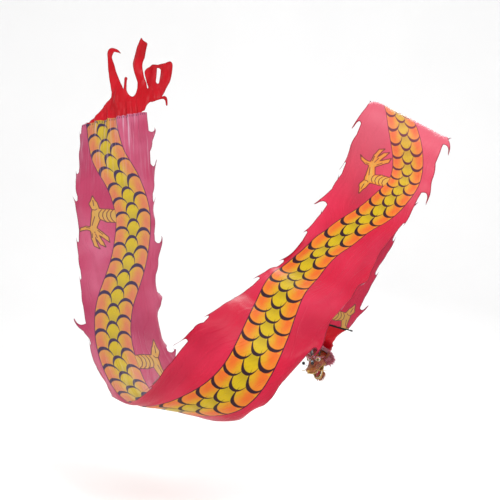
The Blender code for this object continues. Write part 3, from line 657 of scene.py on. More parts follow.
def cloth_piece(name, outline, hems, to_space, mats, step=0.012, holes=(), fine=(), extra=None):
    """A two-sided cloth from a flat outline in (s, w): front, reverse and a thin cut edge."""
    outline = np.array(outline, float)
    rings = [outline, *[np.array(h, float) for h in holes]]
    inner = hex_grid(outline.min(0), outline.max(0), step)
    for low, high, close in fine:
        keep = ~np.all((inner > low) & (inner < high), axis=1)
        inner = np.concatenate([inner[keep], hex_grid(low, high, close)])
    inner = inner[inside_polygon(inner, outline)]
    for hole in rings[1:]:
        inner = inner[~inside_polygon(inner, hole)]
    border = [(r[i], r[(i + 1) % len(r)]) for r in rings for i in range(len(r))]
    near = distance_to(inner, border)
    inner = inner[near > 0.45 * step]
    flat = np.concatenate([*rings, inner])
    edges = []
    for ring in rings:
        start, n = len(edges), len(ring)
        edges += [(start + i, start + (i + 1) % n) for i in range(n)]
    outside = [tuple(range(len(outline)))]
    done = delaunay_2d_cdt([Vector(p) for p in flat], edges, outside, 1, 1e-7)
    flat = np.array([tuple(p) for p in done[0]], float)
    tris = np.array([f for f in done[2]], int)
    middle = flat[tris].mean(1)
    for hole in rings[1:]:
        keep = ~inside_polygon(middle, hole)
        tris, middle = tris[keep], middle[keep]
    s, w = flat[:, 0], flat[:, 1]
    half = CLOTH / 2
    eps = 0.002
    du = to_space(s + eps, w) - to_space(s - eps, w)
    dw = to_space(s, w + eps) - to_space(s, w - eps)
    normals = unit(np.cross(dw, du))
    centre = to_space(s, w)
    points = np.concatenate([centre + normals * half, centre - normals * half])
    n = len(flat)
    a, b, c = flat[tris[:, 0]], flat[tris[:, 1]], flat[tris[:, 2]]
    turn = (b[:, 0] - a[:, 0]) * (c[:, 1] - a[:, 1]) - (b[:, 1] - a[:, 1]) * (c[:, 0] - a[:, 0])
    tris = np.where((turn < 0)[:, None], tris, tris[:, ::-1])
    count = {}
    for f in tris.tolist():
        for i in range(3):
            count[(f[i], f[(i + 1) % 3])] = 1
    walls = [(y, x, x + n, y + n) for x, y in count if (y, x) not in count]
    mesh = bpy.data.meshes.new(name)
    skins = tris.tolist() + (tris[:, ::-1] + n).tolist()
    mesh.from_pydata(points.tolist(), [], skins + walls)
    kinds = np.concatenate([np.zeros(len(tris), int), np.ones(len(tris), int), np.full(len(walls), 2)])
    mesh.polygons.foreach_set("material_index", kinds.astype(np.int32))
    mesh.polygons.foreach_set("use_smooth", np.ones(len(kinds), bool))
    corner = np.zeros(len(mesh.loops), np.int32)
    mesh.loops.foreach_get("vertex_index", corner)
    given = np.concatenate([normals, -normals])[corner]
    wall_from = 6 * len(tris)
    for k, face in enumerate(walls):
        p = points[list(face)]
        across = np.cross(p[1] - p[0], p[3] - p[0])
        given[wall_from + 4 * k : wall_from + 4 * k + 4] = across / max(np.linalg.norm(across), 1e-12)
    mesh.normals_split_custom_set(given.tolist())
    values = {"cloth_s": s, "cloth_w": w, "hem": distance_to(flat, hems)}
    if extra is not None:
        values.update(extra(flat))
    for key, value in values.items():
        layer = mesh.attributes.new(key, "FLOAT", "POINT")
        layer.data.foreach_set("value", np.concatenate([value, value]).astype(np.float32))
    for key in mats:
        mesh.materials.append(MATS[key])
    obj = placed(name, mesh)
    a, b = flat[tris[:, 1]] - flat[tris[:, 0]], flat[tris[:, 2]] - flat[tris[:, 0]]
    obj["cut_area"] = float(np.abs(a[:, 0] * b[:, 1] - a[:, 1] * b[:, 0]).sum() / 2)
    obj["cut_size"] = [float(np.ptp(flat[:, 0])), float(np.ptp(flat[:, 1]))]
    return obj


def curve(points, count):
    """A Bezier curve's points after its first."""
    a = np.array(points, float)
    found = []
    for k in range(1, count + 1):
        t = k / count
        level = a
        while len(level) > 1:
            level = level[:-1] * (1 - t) + level[1:] * t
        found.append(tuple(level[0]))
    return found


def chance(k, seed=0.0):
    v = math.sin(k * 91.7 + seed * 37.3) * 9731.31
    return v - math.floor(v)


# Arc lengths of the tall fins on the left and on the right edge
TALL_FINS = (
    (2.35, 2.86, 4.62, 5.93, 6.43, 6.64, 7.80, 8.06),
    (1.06, 2.08, 2.53, 3.33, 3.54, 4.80, 6.24, 6.42, 6.78, 7.06, 7.25, 7.93, 8.20),
)


def fin_edge(s0, s1, side):
    """The flame-cut edge from s0 to s1: broad tongues swept to the tail, ragged between."""
    points = [(s0, 0.0)]
    count = max(1, round((s1 - s0) / FIN_PITCH))
    step = (s1 - s0 - 0.03) / count
    for k in range(count):
        at = s0 + 0.012 + k * step
        luck = 0.7 * chance(at * 10, side)
        long = step * (0.74 + 0.14 * chance(at * 7, side + 3))
        for near in TALL_FINS[side]:
            if at + 0.45 * step < near < at + 1.05 * step:
                luck = 0.86 + 0.14 * chance(near, side)
                long = min(max(near - at, 0.55 * step), 0.90 * step)
        tall = 0.014 + 0.072 * luck**1.4
        tip = (at + long + 0.016 + 0.022 * luck, tall)
        rag = 0.006 * (chance(at * 5, side + 9) - 0.3)
        points.append((at, 0.0))
        points += curve([(at, 0.0), (at + 0.22 * long, 0.30 * tall + rag),
                         (at + 0.42 * long, 0.34 * tall)], 8)
        points += curve([points[-1], (at + 0.56 * long, 0.30 * tall - rag),
                         (at + 0.78 * long, 0.80 * tall), tip], 9)
        if luck > 0.55:
            curl = (tip[0] + 0.020, tip[1] + 0.010 * (2 * chance(at, 5) - 1))
            points += curve([tip, (tip[0] + 0.012, tip[1] + 0.003), curl], 3)
            points += curve([curl, (tip[0] + 0.010, tip[1] - 0.007), (tip[0] - 0.006, tip[1] - 0.012)], 3)
        points += curve([points[-1], (at + 0.90 * long, 0.62 * tall), (at + 0.90 * long, 0.26 * tall),
                         (at + min(0.99 * long, step - 0.004), 0.0)], 8)
    points.append((s1, 0.0))
    return points


def straight(a, b, step):
    n = max(1, round(math.dist(a, b) / step))
    return [(a[0] + (b[0] - a[0]) * k / n, a[1] + (b[1] - a[1]) * k / n) for k in range(1, n)]


def dense(points, step):
    """The same line with points no further apart than step."""
    found = [points[0]]
    for a, b in zip(points[:-1], points[1:]):
        found += straight(a, b, step)
        found.append(b)
    return found


def segments_of(points):
    return [(np.array(a), np.array(b)) for a, b in zip(points[:-1], points[1:])]


def ribbon_piece(k, s0, s1):
    right = dense([(s, EDGE + h) for s, h in fin_edge(s0, s1, 1)], 0.010)
    left = dense([(s, -EDGE - h) for s, h in fin_edge(s0, s1, 0)], 0.010)
    outline = left + straight((s1, -EDGE), (s1, EDGE), 0.012) + right[::-1]
    outline += straight((s0, EDGE), (s0, -EDGE), 0.012)
    hems = segments_of(left) + segments_of(right)
    fine = []
    for root, side, along, wide in LEGS:
        at = float(body_at(np.array([root]))[0, 0] + side * half_at(root))
        far = at + side * 0.32 * wide
        low = np.array((root - 0.32 * along, min(at, far)))
        high = np.array((root + 0.23 * along, max(at, far)))
        if low[0] < s1 and high[0] > s0:
            fine.append((low, high, 0.0055))
    return cloth_piece(f"ribbon_cloth_{k:02d}", outline, hems, ribbon_space,
                       ("reverse", "front", "cut"), fine=fine, extra=print_values)


def build_ribbon():
    """Pieces that meet in the middle of the frame's panels."""
    stops = [0.0, *BENDS, LENGTH]
    cuts = [0.0, *[(a + b) / 2 for a, b in zip(stops[:-1], stops[1:])], LENGTH]
    for k in range(len(cuts) - 1):
        piece = ribbon_piece(k + 1, cuts[k], cuts[k + 1])
        low, high = stops[k] - BEND_REACH, stops[k] + BEND_REACH
        if k == 0:
            low, high = 0.0, END_REACH
        if k == len(cuts) - 2:
            low, high = LENGTH - END_REACH, LENGTH
        on_ribbon(low)
        on_ribbon(high)
        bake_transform(piece)
        if k < 13:
            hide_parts(f"ribbon_{k + 1:02d}")


settle_ribbon()
build_ribbon()


# ---- tail pieces --------------------------------------------------------------------------
def rounded(points, count=6):
    """A smooth open line through the points."""
    p = np.array([points[0], *points, points[-1]], float)
    found = []
    for i in range(1, len(p) - 2):
        a, b, c, d = p[i - 1 : i + 3]
        for k in range(count):
            t = k / count
            found.append(tuple(0.5 * (2 * b + (c - a) * t + (2 * a - 5 * b + 4 * c - d) * t * t
                                      + (3 * b - a - 3 * c + d) * t**3)))
    return [*found, tuple(points[-1])]


TAIL_TOP = 0.2406
BAND_LEFT = [(0.0, -0.268), (0.030, -0.225), (0.070, -0.165), (0.125, -0.100), (0.160, -0.050),
             (0.195, -0.012), (0.222, 0.000), (TAIL_TOP, 0.004)]
BAND_DIP = [(TAIL_TOP, 0.122), (0.272, 0.130), (0.315, 0.134), (0.352, 0.131), (0.368, 0.140),
            (0.350, 0.160), (0.312, 0.157), (0.268, 0.152), (0.225, 0.148), (0.188, 0.162),
            (0.166, 0.194), (0.196, 0.222), (TAIL_TOP, 0.238)]
BAND_RIGHT = [(TAIL_TOP, 0.545), (0.205, 0.508), (0.170, 0.470), (0.144, 0.448), (0.142, 0.468),
              (0.118, 0.492), (0.075, 0.505), (0.012, 0.508), (0.014, 0.496), (0.060, 0.486),
              (0.098, 0.470), (0.116, 0.438), (0.098, 0.402), (0.082, 0.374), (0.084, 0.342),
              (0.050, 0.318), (0.0, 0.302)]
STREAMERS = {
    "left": [(TAIL_TOP, 0.004), (0.320, 0.002), (0.410, 0.001), (0.480, 0.000), (0.560, 0.000),
             (0.612, 0.006), (0.644, 0.028), (0.655, 0.062), (0.636, 0.100), (0.594, 0.126),
             (0.606, 0.100), (0.616, 0.070), (0.596, 0.052), (0.560, 0.041), (0.480, 0.060),
             (0.390, 0.075), (0.320, 0.094), (0.272, 0.112), (TAIL_TOP, 0.122)],
    "middle": [(TAIL_TOP, 0.238), (0.300, 0.242), (0.350, 0.232), (0.420, 0.224), (0.490, 0.216),
               (0.545, 0.240), (0.596, 0.274), (0.640, 0.318), (0.664, 0.350), (0.640, 0.364),
               (0.604, 0.396), (0.562, 0.372), (0.520, 0.340), (0.485, 0.311), (0.435, 0.296),
               (0.350, 0.304), (0.290, 0.318), (TAIL_TOP, 0.324)],
    "right": [(TAIL_TOP, 0.336), (0.290, 0.322), (0.350, 0.314), (0.405, 0.311), (0.424, 0.340),
              (0.430, 0.385), (0.416, 0.430), (0.404, 0.470), (0.408, 0.530), (0.402, 0.578),
              (0.376, 0.597), (0.340, 0.590), (0.300, 0.576), (0.268, 0.560), (TAIL_TOP, 0.545)],
}
SLIT = [(0.382, 0.444), (0.378, 0.460), (0.362, 0.474), (0.330, 0.464), (0.296, 0.450),
        (0.262, 0.438), (0.258, 0.424), (0.276, 0.412), (0.310, 0.422), (0.350, 0.434)]


def build_tail():
    skins = ("red", "red_back", "cut")
    band = dense(rounded(BAND_LEFT), 0.010)
    cut_left = straight((TAIL_TOP, 0.004), (TAIL_TOP, 0.122), 0.008)
    dip = dense(rounded(BAND_DIP), 0.008)
    notch = [(TAIL_TOP, 0.238), *straight((TAIL_TOP, 0.238), (TAIL_TOP, 0.324), 0.008), (TAIL_TOP, 0.324)]
    gap = rounded([(TAIL_TOP, 0.324), (0.228, 0.330), (TAIL_TOP, 0.336)], 3)
    last = straight((TAIL_TOP, 0.336), (TAIL_TOP, 0.545), 0.008)
    right = dense(rounded(BAND_RIGHT), 0.008)
    seam = straight((0.0, 0.302), (0.0, -0.268), 0.008)
    outline = band + cut_left + dip + notch[1:-1] + gap + last + right + seam
    hems = segments_of(band) + segments_of(dip) + segments_of(right) + segments_of(gap)
    piece = cloth_piece("tail_cloth", outline, hems, tail_space, skins, step=0.008)
    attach(piece, "tail")
    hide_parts("tail_band")
    for name, shape in STREAMERS.items():
        line = dense(rounded(shape), 0.007)
        root = straight(line[-1], line[0], 0.008)
        holes = [dense(rounded([*SLIT, SLIT[0]], 4), 0.006)[:-1]] if name == "right" else []
        hems = segments_of(line)
        for hole in holes:
            hems += segments_of([*hole, hole[0]])
        piece = cloth_piece(f"streamer_cloth_{name}", line + root, hems, tail_space, skins, 0.008, holes)
        middle = (line[0][1] + line[-1][1]) / 2
        on_tail(TAIL_TOP - 0.002, middle)
        on_tail(TAIL_TOP + 0.09, middle)
        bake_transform(piece)
        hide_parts(f"tail_streamer_{name}")


build_tail()


# ---- neck and bar -------------------------------------------------------------------------
HEAD_AT = np.array((0.260, 0.730, -0.700))
FACING = unit(np.array((-0.45, -0.62, -0.64)))
CROWN = np.array((-0.44, -0.47, 0.765))
CROWN = unit(CROWN - FACING * (CROWN @ FACING))
SIDE = np.cross(FACING, CROWN)
BAR_AT, BAR_ALONG, BAR_ACROSS = (v[0] for v in ribbon_frame(0.0)[:3])
NECK_LENGTH = 0.46
BINDING_FROM = 0.965


def on_head(x, y, z):
    return HEAD_AT + SIDE * x + FACING * y + CROWN * z


def mesh_piece(name, points, faces, mats, kinds=None):
    mesh = bpy.data.meshes.new(name)
    mesh.from_pydata([tuple(p) for p in points], [], [tuple(f) for f in faces])
    for mat in mats:
        mesh.materials.append(mat)
    if kinds is not None:
        mesh.polygons.foreach_set("material_index", np.array(kinds, np.int32))
    mesh.polygons.foreach_set("use_smooth", np.ones(len(mesh.polygons), bool))
    return placed(name, mesh)


def loft(rows, seg, base=0):
    """Faces between closed rings of seg points, numbered from base."""
    return [(base + i * seg + j, base + i * seg + (j + 1) % seg,
             base + (i + 1) * seg + (j + 1) % seg, base + (i + 1) * seg + j)
            for i in range(rows - 1) for j in range(seg)]


def give(obj, **values):
    for key, value in values.items():
        layer = obj.data.attributes.new(key, "FLOAT", "POINT")
        layer.data.foreach_set("value", np.asarray(value, np.float32))


def neck_surface(t, a, lift):
    """The sleeve: gathered on the collar, swelling, then flattening to the bar's width."""
    knots = np.linspace(0, 1, 8)
    wide = natural_spline(list(zip(knots, [0.059, 0.066, 0.090, 0.116, 0.141, 0.174, 0.225, 0.303])))
    deep = natural_spline(list(zip(knots, [0.055, 0.053, 0.057, 0.054, 0.045, 0.033, 0.019, 0.0067])))
    start = on_head(0, -0.110, 0.004)
    finish = BAR_AT + BAR_ALONG * 0.0045
    reach = np.linalg.norm(finish - start)
    t1 = t[:, None]
    spine = start * (2 * t1**3 - 3 * t1**2 + 1) - FACING * (t1**3 - 2 * t1**2 + t1) * reach
    spine = spine + finish * (3 * t1**2 - 2 * t1**3) + BAR_ALONG * (t1**3 - t1**2) * reach
    turn = 1 if SIDE @ BAR_ACROSS > 0 else -1
    side = unit(SIDE * turn * (1 - t1) + BAR_ACROSS * t1)
    tangent = unit(-FACING * (1 - t1) + BAR_ALONG * t1)
    side = unit(side - tangent * (side * tangent).sum(1, keepdims=True))
    up = np.cross(side, tangent)
    room = np.clip((1 - t) / 0.25, 0, 1)
    gather = 0.0030 * np.exp(-t / 0.10) * np.cos(26 * a + 2 * np.sin(3 * a))
    slack = 0.0075 * room * np.clip(t / 0.12, 0, 1) * noise(a * 2.6 + 2.2 * t, t * 7, 31)
    crease = 0.0030 * room * noise(a * 8 + 9 * t, t * 9, 32)
    pleat = 0.0016 * np.exp(-(1 - t) / 0.08) * noise(a * 22, t * 3, 33)
    out = lift + (gather + slack + crease) + pleat
    x = wide(t)[:, 0] + out
    z = np.maximum(deep(t)[:, 0] + out * np.clip(deep(t)[:, 0] / 0.02, 0.05, 1), 0.0016 + lift)
    return spine + side * (np.cos(a) * x)[:, None] + up * (np.sin(a) * z)[:, None]


def neck_piece(name, t0, t1, rows, seg=132):
    t, a = np.meshgrid(np.linspace(t0, t1, rows), np.arange(seg) * 2 * math.pi / seg, indexing="ij")
    t, a = t.ravel(), a.ravel()
    outer = neck_surface(t, a, 0.0)
    inner = neck_surface(t, a, -0.0010)
    n = len(outer)
    outer_faces = loft(rows, seg)
    inner_faces = [tuple(v + n for v in face[::-1]) for face in outer_faces]
    rims = []
    for j in range(seg):
        k = (j + 1) % seg
        rims.append((j, j + n, k + n, k))
        e = (rows - 1) * seg
        rims.append((e + j, e + k, e + k + n, e + j + n))
    faces = outer_faces + inner_faces + rims
    a0 = neck_surface(np.array([0.5]), np.array([0.0]), 0.0)[0]
    a1 = neck_surface(np.array([0.5]), np.array([0.05]), 0.0)[0]
    a2 = neck_surface(np.array([0.52]), np.array([0.0]), 0.0)[0]
    if np.cross(a1 - a0, a2 - a0) @ (a0 - neck_surface(np.array([0.5]), np.array([math.pi]), 0.0)[0]) < 0:
        faces = [face[::-1] for face in faces]
    rows_of = [t0 + (t1 - t0) * (face // seg + 0.5) / (rows - 1) for face in range(len(outer_faces))]
    kinds = [3 if at > BINDING_FROM else 0 for at in rows_of] + [1] * len(inner_faces) + [2] * len(rims)
    mats = [MATS["red"], MATS["red_back"], MATS["cut"], MATS["binding"]]
    obj = mesh_piece(name, np.concatenate([outer, inner]), faces, mats, kinds)
    reach = NECK_LENGTH * t
    edge = np.minimum(t, np.abs(1 - t)) * NECK_LENGTH
    give(obj, cloth_s=np.tile(reach, 2), cloth_w=np.tile(a * 0.09, 2), hem=np.tile(edge, 2))
    grid = outer.reshape(rows, seg, 3)
    du = np.roll(grid, -1, axis=1)[:-1] - grid[:-1]
    dv = grid[1:] - grid[:-1]
    area = float(np.linalg.norm(np.cross(du, dv), axis=2).sum())
    length = float(np.linalg.norm(grid[1:, 0] - grid[:-1, 0], axis=1).sum())
    wide = float(np.linalg.norm(np.roll(grid, -1, axis=1) - grid, axis=2).sum(1).max())
    length = max(length, area / wide)
    return obj, grid


def build_neck():
    front, grid = neck_piece("neck_cloth_front", 0.0, 0.5, 46)
    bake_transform(front)
    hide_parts("neck_sleeve")
    back, grid = neck_piece("neck_cloth_back", 0.5, 1.0, 46)
    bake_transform(back)


build_neck()


# ---- fur and wool -------------------------------------------------------------------------
def fur_material(name, root, tip, rough=0.75):
    mat, tree, shader = new_material(name, Sheen_Weight=0.5, Sheen_Roughness=0.4)
    along, tone = attribute(tree, "lock_along"), attribute(tree, "lock_tone")
    strand = noise_of(tree, object_vector(tree), 900.0, 2.0)
    colour = mix(tree, (along + (tone - 0.5) * 0.7).step(0.15, 0.95), root, tip)
    colour = mix(tree, strand * 0.35, colour, tuple(0.6 * c for c in root[:3]) + (1.0,))
    feed(shader, Base_Color=colour)
    feed(shader, Normal=bump_of(tree, strand, 0.0010, 0.8))
    feed(shader, Roughness=(strand * 0.3 + rough - 0.15))
    return mat


def tufts(name, seeds, mat, bend=0.35):
    """Tapered locks of hair, each (root, direction, length, radius), as one piece."""
    points, faces, along, tone = [], [], [], []
    sides, rings = 5, 5
    for k, (root, way, long, thick) in enumerate(seeds):
        way = unit(np.asarray(way, float))
        luck = np.array([chance(k, 1) - 0.5, chance(k, 2) - 0.5, chance(k, 3) - 0.5])
        droop = unit(way + 0.9 * luck + np.array([0, 0, -bend]))
        across = unit(np.cross(way, droop) + 1e-6)
        up = np.cross(way, across)
        base = len(points)
        for i in range(rings):
            t = i / (rings - 1)
            at = root + way * long * t * (1 - 0.35 * t) + droop * long * 0.5 * t * t
            r = thick * (1 - t**1.5) * (0.75 + 0.5 * math.sin(math.pi * min(t * 1.6, 1))) + 0.00025
            for j in range(sides):
                turn = 2 * math.pi * j / sides
                points.append(at + r * (across * math.cos(turn) + up * math.sin(turn) * 0.6))
                along.append(t)
                tone.append(chance(k, 7))
        faces += loft(rings, sides, base)
        faces.append(tuple(base + j for j in range(sides))[::-1])
        faces.append(tuple(base + (rings - 1) * sides + j for j in range(sides)))
    obj = mesh_piece(name, points, faces, [mat])
    give(obj, lock_along=along, lock_tone=tone)
    return obj


def build_fur():
    mane = fur_material("mane_fur_pink", srgb(196, 20, 66), srgb(240, 160, 184))
    rose = fur_material("trim_fur_rose", srgb(150, 20, 46), srgb(236, 130, 150))
    black = fur_material("black_wool", srgb(14, 13, 16), srgb(48, 46, 52))
    orange = fur_material("beard_fur_red", srgb(120, 16, 26), srgb(214, 120, 60))
    seeds = []
    for k in range(640):
        turn = 2 * math.pi * (k + 0.6 * chance(k, 11)) / 64
        layer = (k // 64) / 9
        out = np.array([math.cos(turn), 0, math.sin(turn) * 0.95])
        radius = 0.061 + 0.044 * layer
        root = on_head(out[0] * radius, -0.101 + 0.004 * layer, 0.004 + out[2] * radius)
        way = (SIDE * out[0] + CROWN * out[2]) * (1.3 - 0.4 * layer) + FACING * (0.9 * (layer - 0.55))
        seeds.append((root, way, 0.026 + 0.018 * chance(k, 12), 0.0062))
    ruff = tufts("mane_locks", seeds, mane)
    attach(ruff, "head")
    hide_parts("mane_ruff")
    for name, s in (("right", 1), ("left", -1)):
        seeds = []
        centre = on_head(0.0465 * s, 0.1045, 0.0965)
        for k in range(300):
            z = 1 - 2 * (k + 0.5) / 300
            turn = k * 2.399963
            way = np.array([math.sqrt(1 - z * z) * math.cos(turn), math.sqrt(1 - z * z) * math.sin(turn), z])
            seeds.append((centre + way * 0.0045, way, 0.0085 + 0.002 * chance(k, 13), 0.0016))
        wool = tufts(f"pompom_wool_{name}", seeds, black, 0.0)
        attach(wool, f"pompom_arm_{name}")
        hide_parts(f"pompom_{name}")
        seeds = []
        for k in range(46):
            t = k / 45
            root = on_head(s * (0.020 + 0.052 * t), 0.036 - 0.052 * t * t, 0.076 - 0.030 * t * t)
            way = CROWN * (0.9 - 0.5 * t) + SIDE * s * (0.2 + 0.9 * t) - FACING * 0.5
            seeds.append((root, way, 0.020 + 0.012 * chance(k, 14), 0.0034))
        for k in range(60):
            t = k / 59
            root = on_head(s * (0.075 - 0.003 * math.sin(9 * t)), -0.055 + 0.05 * chance(k, 15),
                           -0.045 + 0.075 * t)
            way = SIDE * s * 0.9 - FACING * 0.9 + CROWN * (t - 0.5) * 0.8
            seeds.append((root, way, 0.026 + 0.012 * chance(k, 16), 0.0040))
        trim = tufts(f"brow_fur_{name}", seeds, rose)
        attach(trim, "head")
    seeds = []
    swing = math.radians(-38)
    for k in range(90):
        turn = math.pi * (k % 30) / 29
        x, y = 0.040 * math.cos(turn), 0.050 + 0.052 * math.sin(turn)
        z = -0.012 - 0.004 * (k // 30)
        root = on_head(x, y * math.cos(swing) - z * math.sin(swing),
                       -0.032 + y * math.sin(swing) + z * math.cos(swing))
        way = SIDE * math.cos(turn) * 0.6 + FACING * 0.35 - CROWN * 1.0
        seeds.append((root, way, 0.028 + 0.016 * chance(k, 17), 0.0042))
    beard = tufts("beard_locks", seeds, orange)
    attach(beard, "jaw")


build_fur()


# ---- head, rod and fittings ---------------------------------------------------------------
def axis_value(tree, axis, origin):
    """Distance along an axis from a point, in metres."""
    node = tree.nodes.new("ShaderNodeVectorMath")
    node.operation = "DOT_PRODUCT"
    plug(tree, node.inputs[0], object_vector(tree))
    node.inputs[1].default_value = tuple(axis)
    return Value(tree, node.outputs["Value"]) - float(np.asarray(axis) @ np.asarray(origin))


def head_axes(tree):
    return (axis_value(tree, SIDE, HEAD_AT), axis_value(tree, FACING, HEAD_AT),
            axis_value(tree, CROWN, HEAD_AT))


def voronoi_edge(tree, scale):
    node = tree.nodes.new("ShaderNodeTexVoronoi")
    node.feature = "DISTANCE_TO_EDGE"
    plug(tree, node.inputs["Vector"], object_vector(tree))
    node.inputs["Scale"].default_value = scale
    return Value(tree, node.outputs["Distance"])


def lacquer(name, base, deep, trim, scale=70.0):
    """Painted papier mache: scale lines in gold, darker blots, a gold tint towards the snout and the
    underside, fine specks.
    """
    mat, tree, shader = new_material(name, Coat_Weight=0.22, Coat_Roughness=0.22, Specular_IOR_Level=0.3)
    _, y, z = head_axes(tree)
    cells = voronoi_edge(tree, scale)
    blot = noise_of(tree, object_vector(tree), 24.0, 3.0)
    grain = noise_of(tree, object_vector(tree), 420.0, 3.0)
    colour = mix(tree, blot.step(0.35, 0.7), base, deep)
    colour = mix(tree, (y + blot * 0.03).step(0.085, 0.135) * 0.40, colour, trim)
    colour = mix(tree, (z + blot * 0.02).step(0.018, -0.020) * 0.25, colour, trim)
    colour = mix(tree, cells.step(0.085, 0.035), colour, trim)
    colour = mix(tree, grain.step(0.60, 0.72) * 0.25, colour, deep)
    feed(shader, Base_Color=colour)
    height = cells.step(0.10, 0.02) * 0.8 + grain * 0.25
    feed(shader, Normal=bump_of(tree, height, 0.0010, 0.7))
    feed(shader, Roughness=(grain * 0.25 + 0.22))
    return mat


def metal(name, base, worn, rough, scratch=1.0):
    """Brushed and handled metal: fine scratches, dull patches and a few darker marks."""
    mat, tree, shader = new_material(name, Metallic=1.0)
    stretched = tree.nodes.new("ShaderNodeMapping")
    plug(tree, stretched.inputs["Vector"], object_vector(tree))
    stretched.inputs["Rotation"].default_value = (0.5, 0.3, 0.9)
    stretched.inputs["Scale"].default_value = (900.0, 900.0, 60.0)
    lines = noise_of(tree, Value(tree, stretched.outputs[0]), 1.0, 3.0)
    patch = noise_of(tree, object_vector(tree), 40.0, 3.0)
    colour = mix(tree, patch.step(0.45, 0.75), base, worn)
    feed(shader, Base_Color=colour)
    feed(shader, Roughness=(lines * 0.22 * scratch + patch * 0.12 + rough - 0.12))
    feed(shader, Normal=bump_of(tree, lines, 0.0002, 0.5))
    return mat


def moulded(name, base, scuff, rough, grain_scale=600.0, coat=0.0):
    mat, tree, shader = new_material(name, Coat_Weight=coat, Coat_Roughness=0.15)
    grain = noise_of(tree, object_vector(tree), grain_scale, 3.0)
    patch = noise_of(tree, object_vector(tree), 30.0, 4.0)
    colour = mix(tree, patch.step(0.45, 0.8) * 0.7, base, scuff)
    colour = mix(tree, grain.step(0.62, 0.74) * 0.35, colour, scuff)
    feed(shader, Base_Color=colour)
    feed(shader, Roughness=(grain * 0.22 + patch * 0.12 + rough - 0.15))
    feed(shader, Normal=bump_of(tree, grain, 0.0004, 0.6))
    return mat


def eye_material(name, s):
    """A painted eye: white, gold ring and black pupil, with a clear coat."""
    mat, tree, shader = new_material(name, Coat_Weight=1.0, Coat_Roughness=0.05)
    x, y, z = head_axes(tree)
    gaze = unit(np.array((0.45 * s, 0.80, 0.40)))
    at = np.array((0.047 * s, 0.020, 0.0640)) + gaze * 0.0215
    off = [v - float(c) for v, c in zip((x, y, z), at)]
    far = (off[0] * off[0] + off[1] * off[1] + off[2] * off[2]).op("SQRT")
    vein = noise_of(tree, object_vector(tree), 260.0, 4.0)
    colour = mix(tree, vein.step(0.55, 0.75) * 0.25, srgb(238, 234, 226), srgb(214, 150, 140))
    colour = mix(tree, far.step(0.0180, 0.0170), colour, srgb(30, 12, 10))
    colour = mix(tree, far.step(0.0165, 0.0155), colour, srgb(226, 160, 30))
    colour = mix(tree, far.step(0.0115, 0.0105), colour, srgb(12, 10, 12))
    feed(shader, Base_Color=colour)
    feed(shader, Roughness=(vein * 0.1 + 0.12))
    feed(shader, Normal=bump_of(tree, vein, 0.0002, 0.3))
    return mat


def dress(mat, *names):
    for name in names:
        for slot in NODES[name].material_slots:
            slot.material = mat


def tube_along(name, path, radii, mat, seg=12, flat=1.0):
    """A smooth tube with closed ends through a few points."""
    line = np.array(rounded([tuple(p) for p in path], 5))
    sizes = np.interp(np.linspace(0, 1, len(line)), np.linspace(0, 1, len(radii)), radii)
    points = []
    up = np.array([0.13, 0.21, 0.97])
    for i, p in enumerate(line):
        way = unit(line[min(i + 1, len(line) - 1)] - line[max(i - 1, 0)])
        side = unit(np.cross(way, up))
        top = np.cross(side, way)
        up = top
        for j in range(seg):
            turn = 2 * math.pi * j / seg
            points.append(p + sizes[i] * (side * math.cos(turn) + top * math.sin(turn) * flat))
    faces = loft(len(line), seg)
    faces.append(tuple(range(seg))[::-1])
    faces.append(tuple((len(line) - 1) * seg + j for j in range(seg)))
    return mesh_piece(name, points, faces, [mat])


def build_hard_parts():
    steel = metal("brushed_steel", srgb(196, 198, 202), srgb(150, 152, 156), 0.30)
    bright = metal("polished_fittings", srgb(214, 214, 216), srgb(170, 168, 164), 0.20, 0.6)
    black = moulded("black_plastic_grained", srgb(20, 20, 22), srgb(52, 52, 56), 0.45)
    red = lacquer("red_lacquer", srgb(150, 8, 26), srgb(78, 6, 18), srgb(186, 120, 44))
    gold = lacquer("gold_lacquer", srgb(190, 128, 44), srgb(128, 60, 26), srgb(232, 186, 84), 110.0)
    dress(steel, "outer_tube", "middle_tube", "tip_tube")
    dress(bright, "tip_ferrule", "swivel_eye", "snap_clip", "lead_ring", "jaw_pin",
          "pompom_spring_left", "pompom_spring_right")
    dress(black, "butt_cap", "outer_collar", "middle_collar", "spreader_bar", "bar_cap_left",
          "bar_cap_right")
    dress(red, "head_shell", "ear_left", "ear_right")
    dress(gold, "lower_jaw", "whisker_left", "whisker_right", "nose")
    dress(moulded("tongue_pink", srgb(205, 60, 78), srgb(150, 26, 48), 0.35, 500.0, 0.4), "tongue")
    dress(moulded("ivory_teeth", srgb(236, 226, 200), srgb(198, 172, 120), 0.30, 700.0, 0.3),
          "upper_teeth", "lower_teeth")
    dress(moulded("dark_horn", srgb(44, 24, 22), srgb(112, 62, 34), 0.40, 380.0, 0.2),
          "antler_left", "antler_right")
    dress(metal("brow_mirror", srgb(206, 222, 232), srgb(180, 190, 205), 0.14, 0.3), "brow_jewel")
    dress(eye_material("eye_paint_left", -1), "eye_left")
    dress(eye_material("eye_paint_right", 1), "eye_right")
    half = [(0.072, -0.012, -0.026), (0.060, 0.020, -0.0125), (0.050, 0.050, -0.0085),
            (0.0455, 0.088, -0.0035), (0.0425, 0.116, -0.0010), (0.0320, 0.137, 0.0085),
            (0.0120, 0.1475, 0.0185)]
    lip = [on_head(*p) for p in half] + [on_head(-x, y, z) for x, y, z in half[::-1]]
    rim = tube_along("lip_piping", lip, [0.0042] * 3, gold)
    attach(rim, "head")
    build_grip()


